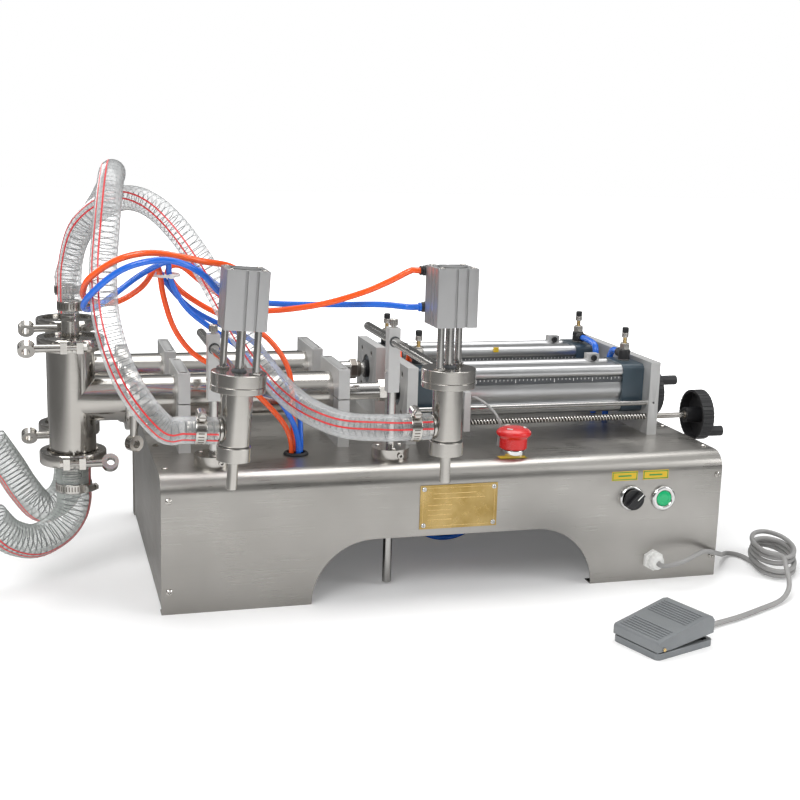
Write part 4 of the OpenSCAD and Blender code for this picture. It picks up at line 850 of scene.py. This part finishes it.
def head_cylinder(s, elbows):
    """Compact air cylinder with grooved sides, retaining ring, corner screws and two fittings behind."""
    H = HEADS[s]
    c = Piece("head_cylinder_" + s, FINNED, SEAL_GREY_AND_GAP_SHADE, BLACK, BLUE, STEEL)
    c.prism(H, slot_outline(), CYL_LO, CYL_HI, 0, 0.35, 2)
    c.lathe(H, [(13.6, CYL_HI), (13.6, 208.2), (13.2, 208), (0, 208)], 0, 64, 0.1)
    c.lathe(H, [(13.7, 209.3), (14.4, 209.75), (13.4, 209.75), (12.9, 209.1)], 1, 64, 0.1)
    for k in range(4):
        K = H @ Matrix.Rotation(k * math.pi / 2, 4, "Z") @ Matrix.Translation((15.2, 15.2, 209.3))
        c.lathe(K, [(3.0, 0), (3.0, 0.6), (2.6, 0.8), (1.6, 0.8), (1.5, 0), (0, 0)], 4, 24, 0.1)
    for z, collar in PORTS:
        if elbows:
            c.block(H, (-18, 20.05, z - 5), (-6, 31, z + 5), 2, 1.2, 3)
            push_fitting(c, H @ turned((-13, 25.6, z), LEFT, Z), 11, 2, collar)
        else:
            push_fitting(c, H @ turned((0, 20.05, z), Y, X), 9.1, 2, collar)
    c.done("head_" + s, "nozzle_cylinder_" + s, "anodised_aluminium")


def cross_block(s):
    """Milled block between post and reach rod, with its screws and a dark ring painted round each bore as the
    shade in its gap.
    """
    x, rod_z = BLOCKS[s]
    b = Piece("cross_block_" + s + "_milled", BLAST, SEAL_GREY_AND_GAP_SHADE, STEEL)
    B = at(x, POST_Y, rod_z - 56.5)
    b.block(B, (-6.6, -7.5, 0), (6.6, 7.5, 71.5), 0, 0.7)
    # A thin dark grey ring on the block's faces round each bore is painted shade for the gap.
    for d in (-1, 1):
        R = at(x, POST_Y + d * 7.5, rod_z, (0, d, 0), Z)
        b.lathe(R, [(5.05, 0.0), (5.05, 0.12), (6.1, 0.12), (6.1, 0.0)], 1, 40, 0)
    b.lathe(B, [(5.05, 0), (5.05, -0.12), (6.1, -0.12), (6.1, 0)], 1, 40, 0)
    b.lathe(B, [(2.4, 71.3), (2.4, 74)], 2, 24, 0)
    b.lathe(B, [(2.4, 73.6), (4.8, 73.6), (4.8, 80.4), (4.1, 81), (2.6, 81), (2.3, 79.6), (0, 79.6)],
            2, 96, 0.35, shape=knurl(24, 0.06))
    b.lathe(at(x - 6.6, POST_Y, rod_z - 34, LEFT, Z),
            [(0, 0.0), (1.9, 0.0), (1.9, 1.6), (1.0, 1.6), (0.9, 0.6), (0, 0.6)], 2, 24, 0.15)
    b.done("block_" + s, "cross_block_" + s, "blasted_aluminium")


for s, q in (("left", -1), ("right", 1)):
    filling_valve(s, [(d * 13.3, d * q * 13.3) for d in (-1, 1)])
    head_cylinder(s, elbows=s == "right")
    cross_block(s)

# ---------- foot pedal ----------
turn = math.radians(18.7)
PB = place(P(490.8, -178.4, 0), Z, (math.cos(turn), math.sin(turn), 0))
slope = math.atan2(14, 68.5)  # the foot plate rises 14 mm over its length
FOOT = PB @ Matrix.Translation((-38.5, 0, 19)) @ Matrix.Rotation(-slope, 4, "Y")
ribs = Piece("pedal_ribs", PEDAL)
for i in range(17):
    u = 3 + i * 3.9
    if not 26 < u < 41:  # a plain band across the middle
        ribs.block(FOOT, (u, -26.5, -0.4), (u + 1.5, 26.5, 1.1), 0, 0.4, 2)
ribs.done("pedal", slot="pedal_grey")
trim = Piece("pedal_pin_ends", BRASS)
for d in (-1, 1):
    trim.lathe(PB @ turned((-31.5, d * 31.4, 10.5), (0, d, 0), X),
               [(2.0, -1), (2.0, 1.3), (1.6, 1.7), (0, 1.8)], 0, 28, 0.2)
trim.done("machine", slot="pedal_grey")
boot = Piece("pedal_cable_boot", RUBBER)
boot.lathe(PB @ turned((39.8, 0, 4.2), X, DOWN),
           [(2.85, -0.5), (3.1, -0.4), (3.1, 1.8), (4.1, 2.1), (3.9, 3.6), (3.3, 4), (3.6, 5.4), (2.85, 6)],
           0, 32, 0.2)
boot.done("machine", slot="grey_cable")


# ---------- hoses, tubes and cables ----------
def hose_piece(name, path, s0, s1, r, wall, pitch, stripes, mats, cord=0.42):
    """Clear hose: outer and inner wall, the cord wound inside it, and the coloured stripes."""
    h = Piece(name, *mats)
    ring = [(r, TAU * k / 36) for k in range(36)]
    h.loft(path, s0, s1, 0.003, ring, 0, caps=False)
    h.loft(path, s0, s1, 0.004, [(r - wall, TAU * k / 20) for k in range(20)][::-1], 3, caps=False)
    h.coil(path, s0 + 0.001, s1 - 0.001, r - 0.22 * MM, pitch, cord * MM, 1)
    w = 0.0008 / r
    lo, hi = r - 0.0002, r + 0.00022
    for a in stripes:
        h.loft(path, s0, s1, 0.003, [(lo, a - w), (hi, a - w), (hi, a + w), (lo, a + w)], 2)
    return h


def facing(path, s, towards):
    """Angle round the path, at length s, that looks along a direction."""
    _, a, b, _ = path.at(s)
    return math.atan2(Vector(towards).dot(b), Vector(towards).dot(a))


def place_spans(make, path, cuts, side):
    """Splits a hose or tube where it leaves the machine, the post and the arm, and bakes each span in place.
    """
    names = ["rise", "arch", "drop"]
    for i, (s0, s1) in enumerate(zip(cuts, cuts[1:])):
        ob = make(names[i], s0, s1)
        tuple(path.at(s0)[0])
        tuple(path.at(s1)[0])
        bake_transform(ob)
        yield ob


HOSE = dict(r=0.0129, wall=0.0022, pitch=0.0066)
SUCTION = dict(r=0.019, wall=0.0026, pitch=0.0056, cord=0.62)
HOSE_TOP, SUCTION_TOP = 302, 132  # heights of the hose ends on the tees
SOFT = dict(slot="clear_hose", soft=True)
# hose, the head it feeds, the row it starts from, and a place where its stripes face the front
for node, side, row, look in (("outlet_hose_front", "right", "front", (43, 10, 382)),
                              ("outlet_hose_rear", "left", "rear", (-57, -64, 368))):
    start = P(TEE_X, ROWS[row], HOSE_TOP)
    line = centre_lines(node, lambda p, tube: abs(p.z - start.z) < 0.0004 and (p - start).length < 0.016)[0]
    path = Path(line, 3)
    top_s = max(path.s, key=lambda q: path.at(q)[0].z)
    L = path.length
    spans = [0.012, top_s, top_s + (L - top_s) * 0.55, L - 0.036]
    w = facing(path, path.near(P(*look)), (-0.62, -0.76, 0.2))
    how = dict(HOSE, stripes=[w - 0.26, w + 0.26], mats=[CLEAR, HELIX, REDINK, CLEAR_IN])
    made = list(place_spans(lambda tag, a, b: hose_piece(node + "_" + tag, path, a, b, **how).done(**SOFT),
                            path, spans, side))
    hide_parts(node)
    hose_piece(node + "_tee_end", path, 0, spans[0], **how).done("machine", **SOFT)
    hose_piece(node + "_head_end", path, spans[-1], L, **how).done("head_" + side, **SOFT)

foot = P(TEE_X, 0, SUCTION_TOP)


def at_foot(p, tube):
    return abs(p.x - foot.x) < 0.0195 and abs(p.z - foot.z) < 0.0006


for i, line in enumerate(centre_lines("suction_hoses", at_foot)):
    path = Path(line, 3)
    w = facing(path, path.length * 0.5, (-0.5, -0.6, -0.6))
    hose = hose_piece("suction_hose_%d" % (i + 1), path, 0, path.length, stripes=[w - 0.13, w + 0.13],
                      mats=[CLEAR_GREY, HELIX, REDINK, CLEAR_IN], **SUCTION)
    hose.done("machine", () if i else "suction_hoses", **SOFT)


def tube_piece(name, path, s0, s1, r, mat, caps=False):
    t = Piece(name, mat)
    t.loft(path, s0, s1, 0.004, [(r, TAU * k / 20) for k in range(20)], 0, caps=caps)
    return t


def highest(line):
    return local(max(line, key=lambda p: p.z)).z


TUBE_R, VALVE_TUBE_R = 0.003, 0.004
# each spare coil inside the housing: its middle and its radius
COILS = {"orange": ((346, 120, 99), 38), "blue": ((359, 140, 73.5), 55)}
for tag, mat in (("orange", ORANGE), ("blue", BLUE)):
    node, slot = tag + "_air_tubes", tag + "_tube"
    lines = [l for l in centre_lines(node, lowest_ring(0.0012))
             if highest(l) > TOP + 10 and min(local(p).z for p in l) > TOP - 2]
    heads = sorted([l for l in lines if highest(l) > 300], key=lambda l: l[-1].x)
    drops = [l for l in lines if highest(l) <= 300]
    for side, line in zip(("left", "right"), heads):
        path = Path(line, 3)
        tie = path.near(P(TIE_RING[0], TIE_RING[1] - 1, TIE_RING[2] + 2))
        L = path.length
        spans = [tie, tie + (L - tie) * 0.35, tie + (L - tie) * 0.66, L - 0.016]
        name = "%s_tube_%s_" % (tag, side)
        made = list(place_spans(lambda t, a, b: tube_piece(name + t, path, a, b, TUBE_R, mat).done(slot=slot),
                                path, spans, side))
        if side == "left":
            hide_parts(node)
        tube_piece(name + "riser", path, 0, tie, TUBE_R, mat).done("machine", slot=slot)
        tube_piece(name + "plug", path, spans[-1], L, TUBE_R, mat, True).done("head_" + side, slot=slot)
    for i, line in enumerate(drops, 1):
        path = Path(line, 3)
        drop = tube_piece("%s_valve_tube_%d" % (tag, i), path, 0, path.length, VALVE_TUBE_R, mat)
        drop.done("machine", slot=slot)
    (x0, y0, z0), r0 = COILS[tag]
    ring = Path([P(x0 + r0 * math.cos(a), y0 + 3.2 * i / 24, z0 + r0 * math.sin(a))
                 for i in range(73) for a in [TAU * i / 24]], 2)
    tube_piece(tag + "_spare_coil", ring, 0, ring.length, TUBE_R, mat, True).done("machine", slot=slot)

cable_end = P(GLAND[0], -13, GLAND[1])
line = centre_lines("pedal_cable", lambda p, tube: (p - cable_end).length < 0.0033)[0]
path = Path(line, 3)
cable = tube_piece("pedal_cable_run", path, 0, path.length, 0.0028, CABLE, True)
cable.done("machine", "pedal_cable", "grey_cable")
for i, line in enumerate(sorted(centre_lines("sensor_cables", lowest_ring(0.0009)), key=lambda l: l[0].y)):
    path = Path(line, 4)
    s = ("front", "rear")[i]
    o = tube_piece("sensor_cable_" + s, path, 0, path.length, 0.0016, CABLE, True).done()
    tuple(path.at(0)[0])
    tuple(path.at(path.length)[0])
    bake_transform(o)
    if i == 0:
        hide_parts("sensor_cables")

# ---------- floor, light and camera ----------
fm = Mat("studio_floor")
pale = fm.mix(fm.noise(2), rgb(0.90, 0.90, 0.90), rgb(0.93, 0.93, 0.93))
# To glossy rays the floor turns dark grey towards the sides and behind, a painted reflection of darker
# surroundings; to the camera it stays pale.
away = fm.new("ShaderNodeSeparateXYZ", {0: fm.coords()})
side = fm.new("ShaderNodeMath", {0: away.outputs[0]}, operation="ABSOLUTE").outputs[0]
behind = fm.span(away.outputs[1], 0, 1, -0.35, 0.5)
dim = fm.new("ShaderNodeMath", {0: fm.span(side, 0, 1, 0.45, 1.1), 1: behind}, operation="MAXIMUM").outputs[0]
mirrored = fm.mix(dim, rgb(0.88, 0.88, 0.88), rgb(0.16, 0.16, 0.16))
fm.put("Base Color", fm.mix(fm.new("ShaderNodeLightPath").outputs["Is Glossy Ray"], pale, mirrored))
fm.put("Roughness", fm.span(fm.noise(300), 0.6, 0.7))
far = fm.new("ShaderNodeVectorMath", {0: fm.coords()}, operation="LENGTH").outputs["Value"]
seen = fm.new("ShaderNodeLightPath").outputs["Is Camera Ray"]
fm.put("Emission Color", rgb(1, 1, 1))
fm.put("Emission Strength", fm.new("ShaderNodeMath", {0: fm.span(far, 0.12, 1.0, 0.8, 1.1), 1: seen},
                                   operation="MULTIPLY").outputs[0])
floor = Piece("studio_floor", fm.m)
fl = [floor.bm.verts.new(v) for v in ((-9, -6, 0), (9, -6, 0), (9, 9, 0), (-9, 9, 0))]
floor.face(fl, 0)
floor.done()

world = bpy.data.worlds.new("studio")
bpy.context.scene.world = world
world.use_nodes = True
wt = world.node_tree
bg = wt.nodes["Background"]
tc = wt.nodes.new("ShaderNodeTexCoord")
sep = wt.nodes.new("ShaderNodeSeparateXYZ")
wt.links.new(tc.outputs["Generated"], sep.inputs[0])


def ramp(*stops):
    cr = wt.nodes.new("ShaderNodeValToRGB")
    wt.links.new(sep.outputs["Z"], cr.inputs["Fac"])
    while len(cr.color_ramp.elements) < len(stops):
        cr.color_ramp.elements.new(0.5)
    for e, (at_z, v) in zip(cr.color_ramp.elements, stops):
        e.position, e.color = at_z, (v, v, v, 1)
    return cr.outputs["Color"]


def blend_by(fac, a, b):
    n = wt.nodes.new("ShaderNodeMix")
    n.data_type = "RGBA"
    wt.links.new(fac, n.inputs[0])
    for k, v in ((6, a), (7, b)):
        if hasattr(v, "is_output"):
            wt.links.new(v, n.inputs[k])
        else:
            n.inputs[k].default_value = v
    return n.outputs[2]


# white to the camera, banded in mirrors, and plain as light
lp = wt.nodes.new("ShaderNodeLightPath")
bands = ramp((0.0, 0.30), (0.10, 0.16), (0.40, 0.12), (0.60, 0.34), (0.80, 0.80), (1.0, 0.55))
plain = ramp((0.0, 0.62), (1.0, 0.42))
env = blend_by(lp.outputs["Is Glossy Ray"], plain, bands)
wt.links.new(blend_by(lp.outputs["Is Camera Ray"], env, (1, 1, 1, 1)), bg.inputs["Color"])


def area(name, loc, target, size, power):
    d = bpy.data.lights.new(name, "AREA")
    d.shape = "RECTANGLE"
    d.size, d.size_y = size
    d.energy = power
    o = bpy.data.objects.new(name, d)
    bpy.context.scene.collection.objects.link(o)
    o.location = loc
    o.rotation_euler = (Vector(target) - Vector(loc)).to_track_quat("-Z", "Y").to_euler()


area("key", (-1.6, -1.7, 2.0), (0, 0, 0.15), (1.5, 1.2), 38)
area("fill", (1.9, -1.3, 1.1), (0.1, 0, 0.15), (1.0, 1.4), 16)
area("top", (0.2, 0.5, 2.4), (0, 0, 0.1), (2.2, 1.4), 30)
area("rim", (-1.2, 1.9, 1.3), (0, 0, 0.2), (1.4, 0.9), 14)

cam_data = bpy.data.cameras.new("camera")
cam = bpy.data.objects.new("camera", cam_data)
bpy.context.scene.collection.objects.link(cam)
yaw, pitch, roll = 0.2844, -0.2062, -0.0297  # the photo's viewpoint, with its position below
fwd = Vector((math.sin(yaw) * math.cos(pitch), math.cos(yaw) * math.cos(pitch), math.sin(pitch)))
right = Vector((math.cos(yaw), -math.sin(yaw), 0))
down = fwd.cross(right)
r2 = math.cos(roll) * right + math.sin(roll) * down
d2 = -math.sin(roll) * right + math.cos(roll) * down
pos = P(-121.7, -1286.5, 504.8)
cam.matrix_world = basis(r2, -d2, -fwd, pos)
cam_data.lens = 57.52
cam_data.sensor_width = 36
bpy.context.scene.camera = cam
bpy.context.scene.view_settings.view_transform = "Standard"
